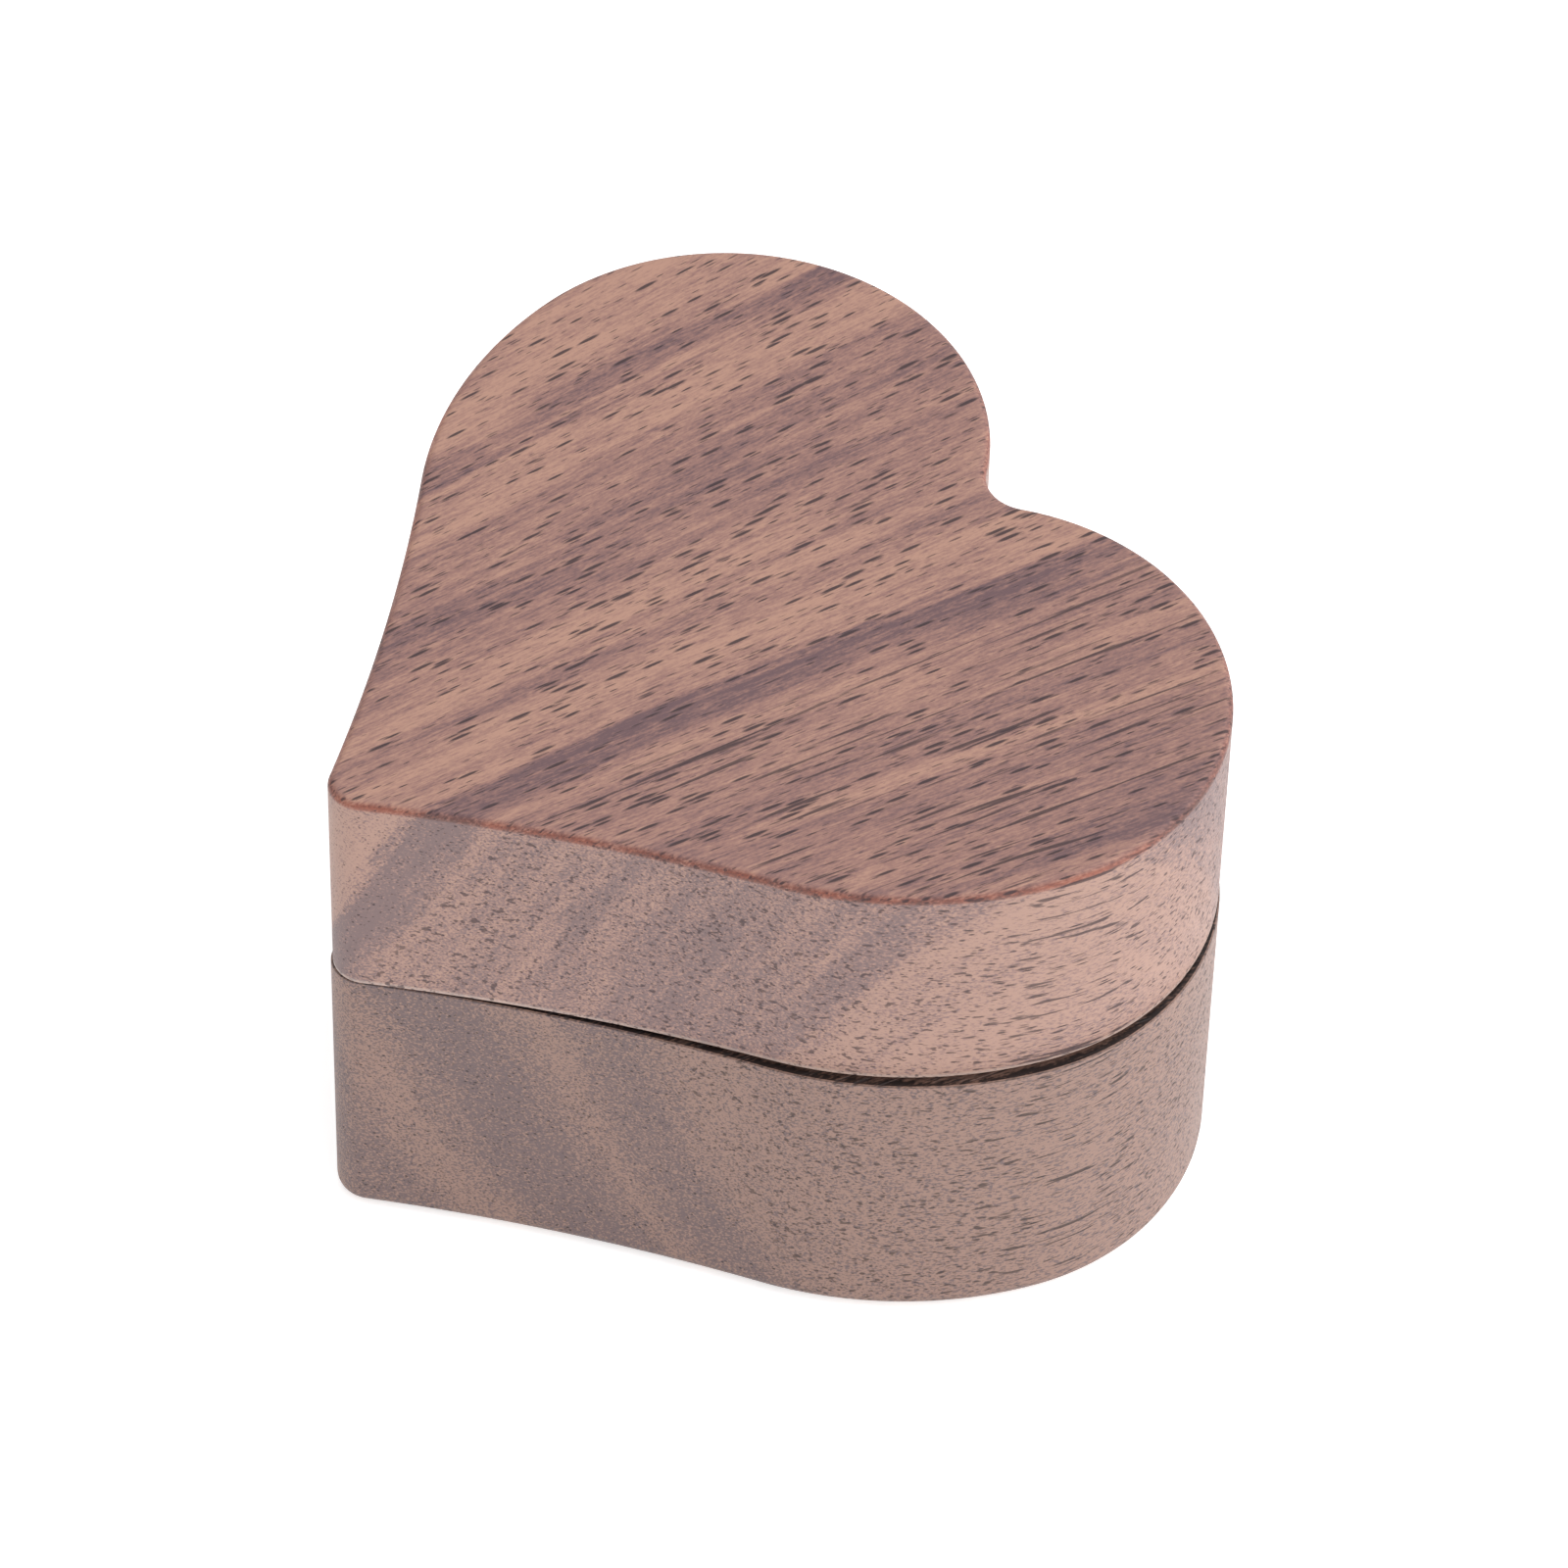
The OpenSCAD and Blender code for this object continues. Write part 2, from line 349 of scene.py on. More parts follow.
        # Fine lines of growth, clouds of darker wood and single fibres. Real fibres are about 0.03 mm
        # wide: they and the sanding marks are drawn some five times coarser, so that they show.
        lines = stretched(tree, grain, 0.8, 30.0, 4.0, 12.0)
        fibre = stretched(tree, grain, 0.14, 1.4, 3.0)
        speck = stretched(tree, grain, 0.15, 0.35, 2.0)
        cloud = stretched(tree, grain, 3.5, 12.0, 2.0, 7.0)
        deeper = add(tree, "MULTIPLY", wires=(add(tree, "SUBTRACT", wires=(band, 0.3)), 0.7))
        tone = add(tree, "MULTIPLY_ADD", wires=(deeper, upright, band))
        for noise, share in ((lines, self.lined), (cloud, 0.7), (fibre, self.gritty),
                             (speck, self.gritty * 0.6)):
            tone = add(tree, "ADD", wires=(tone, add(tree, "MULTIPLY_ADD", wires=(noise, share, -share / 2))))
        sanded = add(tree, "MULTIPLY", wires=(add(tree, "SUBTRACT", wires=(speck, 0.5)), self.gritty * 1.8))
        tone = add(tree, "MULTIPLY_ADD", wires=(sanded, upright, tone))
        hue = add(tree, "ShaderNodeValToRGB", wires={"Fac": tone})
        stops = hue.color_ramp.elements
        stops.new(0.5)
        for stop, place, colour in zip(stops, (0.0, 0.5, 1.0), (self.pale, self.middle, self.dark)):
            stop.position = place
            stop.color = linear(colour)
        hollow = self.open_grain(tree, grain, straight, upright)

        # The attribute is above 0 where an edge takes its tint, which on the base's rim is painted shadow,
        # and below 0 where an edge takes a painted highlight.
        tint_and_painted_light = add(tree, "ShaderNodeAttribute", {"attribute_name": "eased"}).outputs["Fac"]
        edge_noise = add(tree, "MULTIPLY_ADD", wires=(speck, 1.2, -1.0))
        for noise, share in ((fibre, 1.6), (quick, 1.4)):
            edge_noise = add(tree, "MULTIPLY_ADD", wires=(noise, share, edge_noise))
        uneven = add(tree, "MULTIPLY", wires=(tint_and_painted_light, edge_noise))
        depth = add(tree, "MULTIPLY", wires=(hollow, add(tree, "MULTIPLY_ADD", wires=(end_grain, -0.2, 0.9))))
        # The edge tint, broken up by noise: painted shadow on the base's rim.
        edge_tint_and_shadow = add(tree, "MAXIMUM", wires=(uneven, 0.0))
        # Below 0, a painted highlight in the pale arris colour.
        painted_highlight = add(tree, "MAXIMUM", wires=(add(tree, "MULTIPLY", wires=(tint_and_painted_light, -1.0)), 0.0))
        # Painted sheen: the upright faces are mixed towards a greyer colour for the pale haze they reflect.
        painted_haze = add(tree, "MULTIPLY", wires=(upright, self.sheen_haze))
        colour = hue
        for share, way, tint in ((edge_tint_and_shadow, "MULTIPLY", self.eased), (painted_highlight, "MIX", self.arris_highlight),
                                 (painted_haze, "MIX", self.haze_colour), (depth, "MIX", self.pore)):
            colour = add(tree, "ShaderNodeMix", {"data_type": "RGBA", "blend_type": way}, {
                "Factor": share, "A": colour, "B": linear(tint)})
        height = add(tree, "MULTIPLY", wires=(hollow, -1.0))
        for noise, share in ((speck, 0.2), (fibre, 0.25)):
            height = add(tree, "MULTIPLY_ADD", wires=(noise, share, height))
        bump = add(tree, "ShaderNodeBump", wires={
            "Height": height, "Strength": 0.6, "Distance": 0.06 * MM})
        satin = add(tree, "ShaderNodeMapRange", wires={
            "Value": add(tree, "ADD", wires=(fibre, hollow)), "From Max": 1.6, "To Min": 0.42, "To Max": 0.7})
        join(tree, shader, {"Base Color": colour, "Normal": bump, "Roughness": satin, "IOR": 1.5})
        return material

    def open_grain(self, tree: Tree, grain: Link, straight: Link,
                   upright: Link) -> Node:
        """Give the pits of the open grain: two kinds of pore and the long veins.

        Args:
            tree: the material's tree.
            grain: the point in the wood, in millimetres.
            straight: the place across the grain, in millimetres.
            upright: 1 on an upright face and 0 on a flat one.

        Returns:
            A node whose value is 1 deep in a pit and 0 on the sound face.
        """
        # Sanding dust fills the mouths of the pores on the upright faces, so only their middles show.
        coarse = self.pores(tree, grain, 0.4, 2.9, add(tree, "MULTIPLY_ADD", wires=(upright, -0.2, 0.52)))
        fine = self.pores(tree, grain, 0.22, 1.9, 0.44)
        vein = add(tree, "ShaderNodeMapRange", {"interpolation_type": "SMOOTHSTEP"}, {
            "Value": stretched(tree, grain, 0.33, 16.0, 1.0), "From Min": 0.6, "From Max": 0.7})
        there = add(tree, "ShaderNodeMapRange", wires={
            "Value": straight, "From Min": self.veins_from, "From Max": self.veins_from + 2.0, "To Max": 0.9})
        return add(tree, "MAXIMUM", wires=(coarse, add(tree, "MAXIMUM", wires=(add(
            tree, "MULTIPLY", wires=(fine, 0.7)), add(tree, "MULTIPLY", wires=(vein, there))))))


def stretched(tree: Tree, grain: Link, across: float, along: float, detail: float,
              upright: float = 0.0) -> Node:
    """Add noise that is drawn out along the grain.

    Args:
        tree: the material's tree.
        grain: the point in the wood, in millimetres, with Y along the grain.
        across: size of the noise across the grain, in millimetres.
        along: its size along the grain, in millimetres.
        detail: its number of finer layers.
        upright: its size in the plane of the growth rings, or 0 for the size across the grain.

    Returns:
        The noise node.
    """
    cell = add(tree, "ShaderNodeMapping", wires={
        "Vector": grain, "Scale": (1 / across, 1 / along, 1 / (upright or across))})
    return add(tree, "ShaderNodeTexNoise", wires={"Vector": cell, "Scale": 1.0, "Detail": detail})


@dataclass(frozen=True)
class Velvet:
    """Short-pile rayon velvet, woven and brushed: it gives a bright rim of sheen and a soft dark face.

    Attributes:
        name: the material's name.
        pile: colour of the tips of the pile, as sRGB hex.
        shade: colour between them.
    """

    name: str
    pile: str
    shade: str

    def material(self) -> Material:
        """Build the cloth.

        Returns:
            The material, whose pile is about 0.25 mm across: as coarse as it needs to be to show.
        """
        material, tree, shader = new_material(self.name)
        point = millimetres(tree)
        nap = add(tree, "ShaderNodeTexNoise", wires={"Vector": point, "Scale": 0.25, "Detail": 2.0})
        pile = add(tree, "ShaderNodeTexNoise", wires={"Vector": point, "Scale": 4.0, "Detail": 3.0})
        mixed = add(tree, "MULTIPLY_ADD", wires=(nap, 0.6, -0.05))
        mixed = add(tree, "MULTIPLY_ADD", wires=(pile, 0.6, mixed))
        colour = add(tree, "ShaderNodeMix", {"data_type": "RGBA"}, {
            "Factor": mixed, "A": linear(self.shade), "B": linear(self.pile)})
        bump = add(tree, "ShaderNodeBump", wires={
            "Height": pile, "Strength": 0.6, "Distance": 0.12 * MM})
        join(tree, shader, {"Base Color": colour, "Normal": bump, "Roughness": 0.92,
                            "Sheen Weight": 0.8, "Sheen Roughness": 0.35})
        return material


@dataclass(frozen=True)
class Turned:
    """A metal turned on a lathe: fine rings round its axis give it a brushed, silky shine.

    Attributes:
        name: the material's name.
        colour: its colour, as sRGB hex.
        roughness: its mean roughness, from 0 to 1.
        groove: how strongly the turning marks show.
        centre: X and Y of the lathe's axis, in millimetres.
    """

    name: str
    colour: str
    roughness: float
    groove: float
    centre: tuple[float, float] = (0.0, 0.0)

    def material(self) -> Material:
        """Build the metal.

        Returns:
            The material, with turning marks 0.2 mm apart: about twice as coarse as real ones, to show.
        """
        material, tree, shader = new_material(self.name)
        point = millimetres(tree, shift=(-self.centre[0], -self.centre[1], 0))
        marks = add(tree, "ShaderNodeTexWave", {
            "wave_type": "RINGS", "rings_direction": "Z", "wave_profile": "SIN"}, {
            "Vector": point, "Scale": 1.6, "Distortion": 0.6, "Detail": 2.0})
        smear = add(tree, "ShaderNodeTexNoise", wires={"Vector": point, "Scale": 1.2, "Detail": 3.0})
        bump = add(tree, "ShaderNodeBump", wires={
            "Height": marks, "Strength": self.groove, "Distance": 0.01 * MM})
        rough = add(tree, "ShaderNodeMapRange", wires={
            "Value": smear, "To Min": self.roughness * 0.8, "To Max": self.roughness * 1.25})
        join(tree, shader, {"Base Color": linear(self.colour), "Metallic": 1.0, "Normal": bump,
                            "Roughness": rough})
        return material


@dataclass(frozen=True)
class Grained:
    """A plain stuff with a fine grain, which gives nylon its haze, foam its cells and card its fibres.

    Attributes:
        name: the material's name.
        colour: its main colour, as sRGB hex.
        fleck: the colour between its grains.
        grit: size of a grain, in millimetres.
        depth: how deep the grain's relief is, in millimetres.
        roughness: its roughness, from 0 to 1.
    """

    name: str
    colour: str
    fleck: str
    grit: float
    depth: float
    roughness: float

    def material(self) -> Material:
        """Build the stuff.

        Returns:
            The material, whose noise is grit millimetres across.
        """
        material, tree, shader = new_material(self.name)
        point = millimetres(tree)
        grain = add(tree, "ShaderNodeTexNoise", wires={
            "Vector": point, "Scale": 1 / self.grit, "Detail": 3.0})
        colour = add(tree, "ShaderNodeMix", {"data_type": "RGBA"}, {
            "Factor": grain, "A": linear(self.fleck), "B": linear(self.colour)})
        bump = add(tree, "ShaderNodeBump", wires={
            "Height": grain, "Strength": 0.5, "Distance": self.depth * MM})
        join(tree, shader, {"Base Color": colour, "Normal": bump, "Roughness": self.roughness})
        return material


# On both boards the dry colour is painted sheen: the upright faces are mixed towards it to stand in for the
# pale haze they reflect.
# The two boards are cut from different logs: the lid's is pinker and its streaks are sharper.
# The lid's pale arris colour is a painted highlight along its lower edge, where it catches the light.
LID_BOARD = Walnut(
    name="oiled_walnut_lid", pale="aa8271", middle="8d6860", dark="63494d", pore="2f2026", eased="d69075",
    arris_highlight="dccbc0", lean=19, level=40.2, spread=0.004, ground=0.19, lined=1.2, gritty=1.3, sheen_haze=0.3,
    haze_colour="8f7e77", veins_from=7.0, streaks=(
        Streak(-21.0, 0.3, 1.6, 0.6), Streak(-10.2, 4.7, 1.4, 0.29), Streak(-9.0, 0.2, 1.5, 0.17),
        Streak(-1.0, 0.4, 1.5, 0.26), Streak(5.6, 0.5, 1.0, 0.3), Streak(17.05, 9.95, 1.0, 0.2),
        Streak(6.2, 0.8, 1.5, 0.33), Streak(15.2, 0.3, 0.9, 0.2), Streak(22.7, 4.3, 1.0, 0.15)))

# The base's dark eased colour is painted shadow: the strip of its rim that the lid shades at the seam.
BASE_BOARD = Walnut(
    name="oiled_walnut_base", pale="917062", middle="74584f", dark="584549", pore="241818", eased="2c120d",
    arris_highlight="b8a498", lean=-20, level=0.0, spread=0.003, ground=0.15, lined=0.7, gritty=2.8, sheen_haze=0.25,
    haze_colour="7e6d68", veins_from=22.0, streaks=(
        Streak(-24.0, 1.0, 3.0, 0.4), Streak(-12.0, 1.0, 4.0, 0.35), Streak(-3.5, 1.0, 3.0, 0.5),
        Streak(4.0, 1.0, 2.5, 0.4), Streak(13.0, 1.5, 3.0, 0.55), Streak(20.5, 1.0, 2.0, 0.45)))

VELVET = Velvet(name="ivory_velvet", pile="ebe0ce", shade="b7a68c")
FOAM = Grained("cut_polyurethane_foam", "dcd6c4", "b9b19c", grit=0.5, depth=0.2, roughness=0.95)
CARD = Grained("pressed_grey_card", "8f8171", "6e6255", grit=0.4, depth=0.03, roughness=0.9)
NYLON = Grained("moulded_nylon", "e9e6da", "dcd8c8", grit=0.8, depth=0.01, roughness=0.45)
BRASS = Turned("turned_brass", "c79a4b", roughness=0.28, groove=0.4, centre=(0.0, -14.8))
STEEL = Turned("turned_stainless_steel", "b9b9b7", roughness=0.32, groove=0.4, centre=(0.0, -14.8))
NICKEL = Turned("bright_nickel_plate", "a8a49c", roughness=0.2, groove=0.1)


# ---------------------------------------------------------------- outlines


@dataclass(frozen=True)
class Arc:
    """A round stretch of an outline, walked from one angle to the other.

    Attributes:
        centre: its centre.
        radius: its radius.
        start: the first angle, in degrees.
        end: the last angle, in degrees.
        hollow: True where the wood lies outside the circle.
    """

    centre: tuple[float, float]
    radius: float
    start: float
    end: float
    hollow: bool = False

    def walk(self, inset: float, spacing: float) -> np.ndarray:
        """Give points along the arc, moved inwards.

        Args:
            inset: how far the line is moved into the wood.
            spacing: the distance between points where inset is 0.

        Returns:
            An array of points, the same number at any inset.
        """
        count = max(3, math.ceil(math.radians(abs(self.end - self.start)) * self.radius / spacing))
        angles = np.radians(np.linspace(self.start, self.end, count + 1))
        radius = self.radius + inset if self.hollow else self.radius - inset
        return np.array(self.centre) + radius * np.column_stack([np.cos(angles), np.sin(angles)])


@dataclass(frozen=True)
class FrontWall:
    """The straight front wall of a hollow, from the long axis to its corner.

    Attributes:
        y: where it crosses the long axis.
        to_x: where its corner begins.
    """

    y: float
    to_x: float

    def walk(self, inset: float, spacing: float) -> np.ndarray:
        """Give points along the wall, moved inwards by inset."""
        xs = np.linspace(0, self.to_x, max(3, math.ceil(self.to_x / spacing)) + 1)
        return np.column_stack([xs, np.full_like(xs, self.y + inset)])


def angle(start: np.ndarray, end: np.ndarray) -> float:
    """Give the direction from one point to another, in degrees."""
    return math.degrees(math.atan2(end[1] - start[1], end[0] - start[0]))


def crossing(p: np.ndarray, from_p: float, q: np.ndarray, from_q: float) -> np.ndarray:
    """Find the point at given distances from two points, on the right of the way from p to q.

    Args:
        p: the first point.
        from_p: the distance from it.
        q: the second point.
        from_q: the distance from that.

    Returns:
        The point.
    """
    d = np.linalg.norm(q - p)
    along = (from_p ** 2 - from_q ** 2 + d ** 2) / (2 * d)
    aside = math.sqrt(from_p ** 2 - along ** 2)
    u = (q - p) / d
    return p + along * u + aside * np.array([u[1], -u[0]])


@dataclass
class Heart:
    """The outline of the box and of its hollows, made of arcs that run smoothly into each other.

    Attributes:
        lobe_r: radius of a lobe.
        lobe_x: its centre's distance from the long axis.
        lobe_y: its centre's distance behind the tip's.
        shoulder_r: radius of the shoulder, between lobe and flank.
        shoulder_turn: where the shoulder runs into the lobe, in degrees.
        flank_r: radius of the hollow curve of the flank.
        tip_r: radius of the tip.
        cleft_r: radius of the cleft.
        wall: thickness of the wooden wall.
        corner_r: radius of the hollows' front corners.
        pivot_y: how far the pivot lies behind the tip's centre.
        pivot_to_hollow: how far the hollows' front wall lies behind the pivot.
        spacing: distance between points along the outline.
    """

    lobe_r: float = 17.5
    lobe_x: float = 14.1
    lobe_y: float = 36.9
    shoulder_r: float = 27.9
    shoulder_turn: float = -12.5
    flank_r: float = 156.0
    tip_r: float = 2.3
    cleft_r: float = 3.0
    wall: float = 5.5
    corner_r: float = 3.0
    pivot_y: float = 11.25
    pivot_to_hollow: float = 7.2
    spacing: float = 0.3

    def __post_init__(self) -> None:
        """Work out the arcs' centres from the driving sizes."""
        length = self.tip_r + self.lobe_y + self.lobe_r
        turn = math.radians(self.shoulder_turn)
        self.tip = np.array([0.0, self.tip_r - length / 2])
        self.lobe = self.tip + [self.lobe_x, self.lobe_y]
        self.shoulder = self.lobe - (self.shoulder_r - self.lobe_r) * np.array(
            [math.cos(turn), math.sin(turn)])
        self.flank = crossing(self.tip, self.tip_r + self.flank_r,
                              self.shoulder, self.shoulder_r + self.flank_r)
        rise = math.sqrt((self.lobe_r + self.cleft_r) ** 2 - self.lobe_x ** 2)
        self.cleft = np.array([0.0, self.lobe[1] + rise])
        self.pivot = np.array([0.0, self.tip[1] + self.pivot_y])
        self.front = self.pivot[1] + self.pivot_to_hollow

    def round_the_lobe(self, wall: float) -> list[Arc]:
        """Give the shoulder, lobe and cleft arcs of the right half.

        Args:
            wall: how far they are moved inwards.

        Returns:
            The arcs, from the flank to the cleft.
        """
        return [
            Arc(tuple(self.shoulder), self.shoulder_r - wall, angle(self.shoulder, self.flank),
                self.shoulder_turn),
            Arc(tuple(self.lobe), self.lobe_r - wall, self.shoulder_turn, angle(self.lobe, self.cleft)),
            Arc(tuple(self.cleft), self.cleft_r + wall, angle(self.cleft, self.lobe), -90, hollow=True)]

    def outside(self) -> list[Arc]:
        """Give the right half of the box's outline.

        Returns:
            Its stretches, from the tip to the cleft.
        """
        return [
            Arc(tuple(self.tip), self.tip_r, -90, angle(self.tip, self.flank)),
            Arc(tuple(self.flank), self.flank_r, angle(self.flank, self.tip),
                angle(self.flank, self.shoulder), True),
            *self.round_the_lobe(0)]

    def inside(self) -> list[Arc | FrontWall]:
        """Give the right half of the hollows' outline.

        Returns:
            Its stretches, from the front wall to the cleft.
        """
        y = self.front + self.corner_r
        reach = self.flank_r + self.wall + self.corner_r
        corner = np.array([self.flank[0] - math.sqrt(reach ** 2 - (self.flank[1] - y) ** 2), y])
        return [
            FrontWall(self.front, corner[0]),
            Arc(tuple(corner), self.corner_r, -90, angle(corner, self.flank)),
            Arc(tuple(self.flank), self.flank_r + self.wall, angle(self.flank, corner),
                angle(self.flank, self.shoulder), True),
            *self.round_the_lobe(self.wall)]

    def loop(self, stretches: Sequence[Arc | FrontWall], inset: float) -> np.ndarray:
        """Walk a whole closed outline, counter-clockwise seen from above.

        Args:
            stretches: the right half's arcs, in order from the tip's side to the cleft.
            inset: how far the line is moved into the wood.

        Returns:
            An array of points in which no point repeats.
        """
        parts = [s.walk(inset, self.spacing)[:-1] for s in stretches]
        last = stretches[-1].walk(inset, self.spacing)[-1:]
        right = np.vstack(parts + [last])
        left = right[1:-1][::-1] * [-1, 1]
        return np.vstack([right, left])


# ---------------------------------------------------------------- mesh helpers


def new_object(name: str, vertices: np.ndarray, faces: Iterable[Sequence[int]]) -> Object:
    """Make a mesh object in the scene.

    Args:
        name: the object's name.
        vertices: an array of points, in millimetres.
        faces: vertex indices, counter-clockwise seen from outside.

    Returns:
        The object, at the origin.
    """
    mesh = bpy.data.meshes.new(name)
    mesh.from_pydata((np.asarray(vertices) * MM).tolist(), [], [list(f) for f in faces])
    mesh.validate()
    obj = bpy.data.objects.new(name, mesh)
    bpy.context.scene.collection.objects.link(obj)
    return obj


def loft(name: str, loop: Callable[[float], np.ndarray], profile: Profile, tube: bool = False,
         eased: Sequence[float] | None = None) -> Object:
    """Carry an outline up a profile.

    Args:
        name: the object's name.
        loop: gives the outline's points for an inset.
        profile: insets and heights, walked up the outside of the solid.
        tube: True where the profile closes on itself; otherwise both ends get a flat cap.
        eased: for each profile point, how strongly an edge's tint (painted shadow on the base's rim) or,
        below 0, its painted highlight is laid on there.

    Returns:
        The object.
    """
    rings = []
    for inset, z in profile:
        flat = loop(inset)
        rings.append(np.column_stack([flat, np.full(len(flat), z)]))
    n = len(rings[0])
    spans = len(rings) if tube else len(rings) - 1
    faces = []
    for k in range(spans):
        low, high = k * n, ((k + 1) % len(rings)) * n
        faces += [(low + j, low + (j + 1) % n, high + (j + 1) % n, high + j) for j in range(n)]
    if not tube:
        faces.append(tuple(range(n))[::-1])
        faces.append(tuple(range((len(rings) - 1) * n, len(rings) * n)))
    obj = new_object(name, np.vstack(rings), faces)
    if eased:
        layer = obj.data.attributes.new("eased", "FLOAT", "POINT")
        layer.data.foreach_set("value", np.repeat(np.asarray(eased, np.float32), n))
    return obj


def lathe(name: str, profile: Profile, centre: Sequence[float], segments: int = 64) -> Object:
    """Turn a closed profile round an upright axis.

    Args:
        name: the object's name.
        profile: radii and heights, walked so that the solid lies on the left.
        centre: the axis's X and Y.
        segments: the number of faces round the axis.

    Returns:
        The object.
    """
    turn = np.linspace(0, 2 * math.pi, segments, endpoint=False)
    vertices, rows = [], []
    for radius, z in profile:
        if radius < 1e-6:
            rows.append([len(vertices)] * segments)
            vertices.append((centre[0], centre[1], z))
        else:
            rows.append(list(range(len(vertices), len(vertices) + segments)))
            vertices += [(centre[0] + radius * math.cos(t), centre[1] + radius * math.sin(t), z)
                         for t in turn]
    faces = []
    for k, low in enumerate(rows):
        high = rows[(k + 1) % len(rows)]
        for j in range(segments):
            i = (j + 1) % segments
            corners = [low[j], low[i], high[i], high[j]]
            face = [c for c, before in zip(corners, corners[-1:] + corners[:-1]) if c != before]
            if len(set(face)) > 2:
                faces.append(face)
    return new_object(name, np.array(vertices), faces)


def baked(obj: Object) -> None:
    """Apply every modifier of an object to its mesh.

    Args:
        obj: the object.
    """
    graph = bpy.context.evaluated_depsgraph_get()
    mesh = bpy.data.meshes.new_from_object(obj.evaluated_get(graph))
    obj.modifiers.clear()
    old, obj.data = obj.data, mesh
    mesh.name = obj.name
    bpy.data.meshes.remove(old)


def carve(obj: Object, *tools: Object, operation: str = "DIFFERENCE") -> None:
    """Cut an object with others, which are used up.

    Args:
        obj: the object that is changed.
        tools: the objects that cut it.
        operation: the boolean operation.
    """
    for tool in tools:
        cut = obj.modifiers.new("cut", "BOOLEAN")
        cut.operation, cut.object, cut.solver = operation, tool, "EXACT"
    baked(obj)
    for tool in tools:
        bpy.data.meshes.remove(tool.data)


def crisp(obj: Object, limit: float = 28.0) -> None:
    """Shade an object smooth, but keep edges sharper than limit degrees crisp."""
    obj.data.polygons.foreach_set("use_smooth", [True] * len(obj.data.polygons))
    obj.data.set_sharp_from_angle(angle=math.radians(limit))


def quarter(radius: float, steps: int = 7) -> Profile:
    """Give the inset and the height of points on an eased edge.

    Args:
        radius: the edge's radius.
        steps: the number of facets.

    Returns:
        Pairs from the flat face (inset = radius, height 0) to the upright side (inset 0, height = radius).
    """
    turns = np.linspace(0, math.pi / 2, steps + 1)
    return [(radius * (1 - math.sin(t)), radius * (1 - math.cos(t))) for t in turns]


@dataclass(frozen=True)
class Edge:
    """An eased edge of a block.

    Attributes:
        radius: its radius.
        tint_and_painted_light: how strongly its tint is laid on, up to 1; on the base's rim that tint is
            painted shadow. Below 0, it takes a painted highlight instead.
        flat_tint_and_shadow: how strongly the flat face just inside it takes that tint: painted shadow on
            the base's rim.
    """

    radius: float
    tint_and_painted_light: float
    flat_tint_and_shadow: float = 0.0


def block(low: float, high: float, foot: Edge, head: Edge) -> tuple[Profile, list[float]]:
    """Give the profile of a solid block with eased edges.

    Args:
        low: height of its underside.
        high: height of its top.
        foot: its lower edge.
        head: its upper edge.

    Returns:
        The profile and, for each point, how strongly the edge's tint (painted shadow on the base's rim) or,
        below 0, its painted highlight is laid on there.
    """
    near, far, side_rows = 0.3, 0.9, 8
    profile, tint_and_painted_light = [(foot.radius + far, low), (foot.radius + near, low)], [0.0, foot.flat_tint_and_shadow]
    for edge, level, way in ((foot, low, 1), (head, high, -1)):
        curve = [(inset, level + way * rise) for inset, rise in quarter(edge.radius)]
        turn = [k / (len(curve) - 1) for k in range(len(curve))]
        glow = [edge.tint_and_painted_light * (t ** 3 if edge.tint_and_painted_light < 0 else math.sin(math.pi * t ** 2.2)) for t in turn]
        glow[0] = edge.flat_tint_and_shadow
        profile += curve[::way]
        tint_and_painted_light += glow[::way]
        if edge is foot:
            heights = np.linspace(low + foot.radius, high - head.radius, side_rows)[1:-1]
            heights = [low + foot.radius + near, *heights, high - head.radius - near]
            profile += [(0.0, z) for z in heights]
            tint_and_painted_light += [0.0] * len(heights)
    profile += [(head.radius + near, high), (head.radius + far, high)]
    return profile, tint_and_painted_light + [head.flat_tint_and_shadow, 0.0]


def rounded_ring(outer: float, inner: float, low: float, high: float, edge: float) -> Profile:
    """Give the closed lathe profile of a ring or, with inner 0, of a disc, with small round edges.

    Args:
        outer: its outer radius.
        inner: its bore's radius, or 0.
        low: height of its underside.
        high: height of its top.
        edge: radius of its edges.

    Returns:
        The profile.
    """
    bend = quarter(edge, 3)
    corner = [(outer - a, low + b) for a, b in bend]
    top = [(outer - b, high - a) for a, b in bend]
    if inner <= 0:
        return [(0.0, low), *corner, *top, (0.0, high)]
    back = [(inner + a, high - b) for a, b in bend]
    foot = [(inner + b, low + a) for a, b in bend]
    return [*corner, *top, *back, *foot]


def finished(obj: Object, body: Body, material: Material,
             node: str) -> None:
    """Dress a finished piece and hand it to the frame.

    Args:
        obj: the piece.
        body: the body that carries it.
        material: its material.
        node: the CAD node it stands for.
    """
    obj.data.materials.clear()
    obj.data.materials.append(material)
    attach(obj, body.value)
    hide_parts(node)
    LOG.info("%-22s %6d faces, rides on %s", obj.name, len(obj.data.polygons), body.value)


def extent(node: str) -> tuple[np.ndarray, np.ndarray]:
    """Give a CAD node's lowest and highest corners, in millimetres."""
    low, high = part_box(node)
    return np.array(low) / MM, np.array(high) / MM


# ---------------------------------------------------------------- geometry node helpers


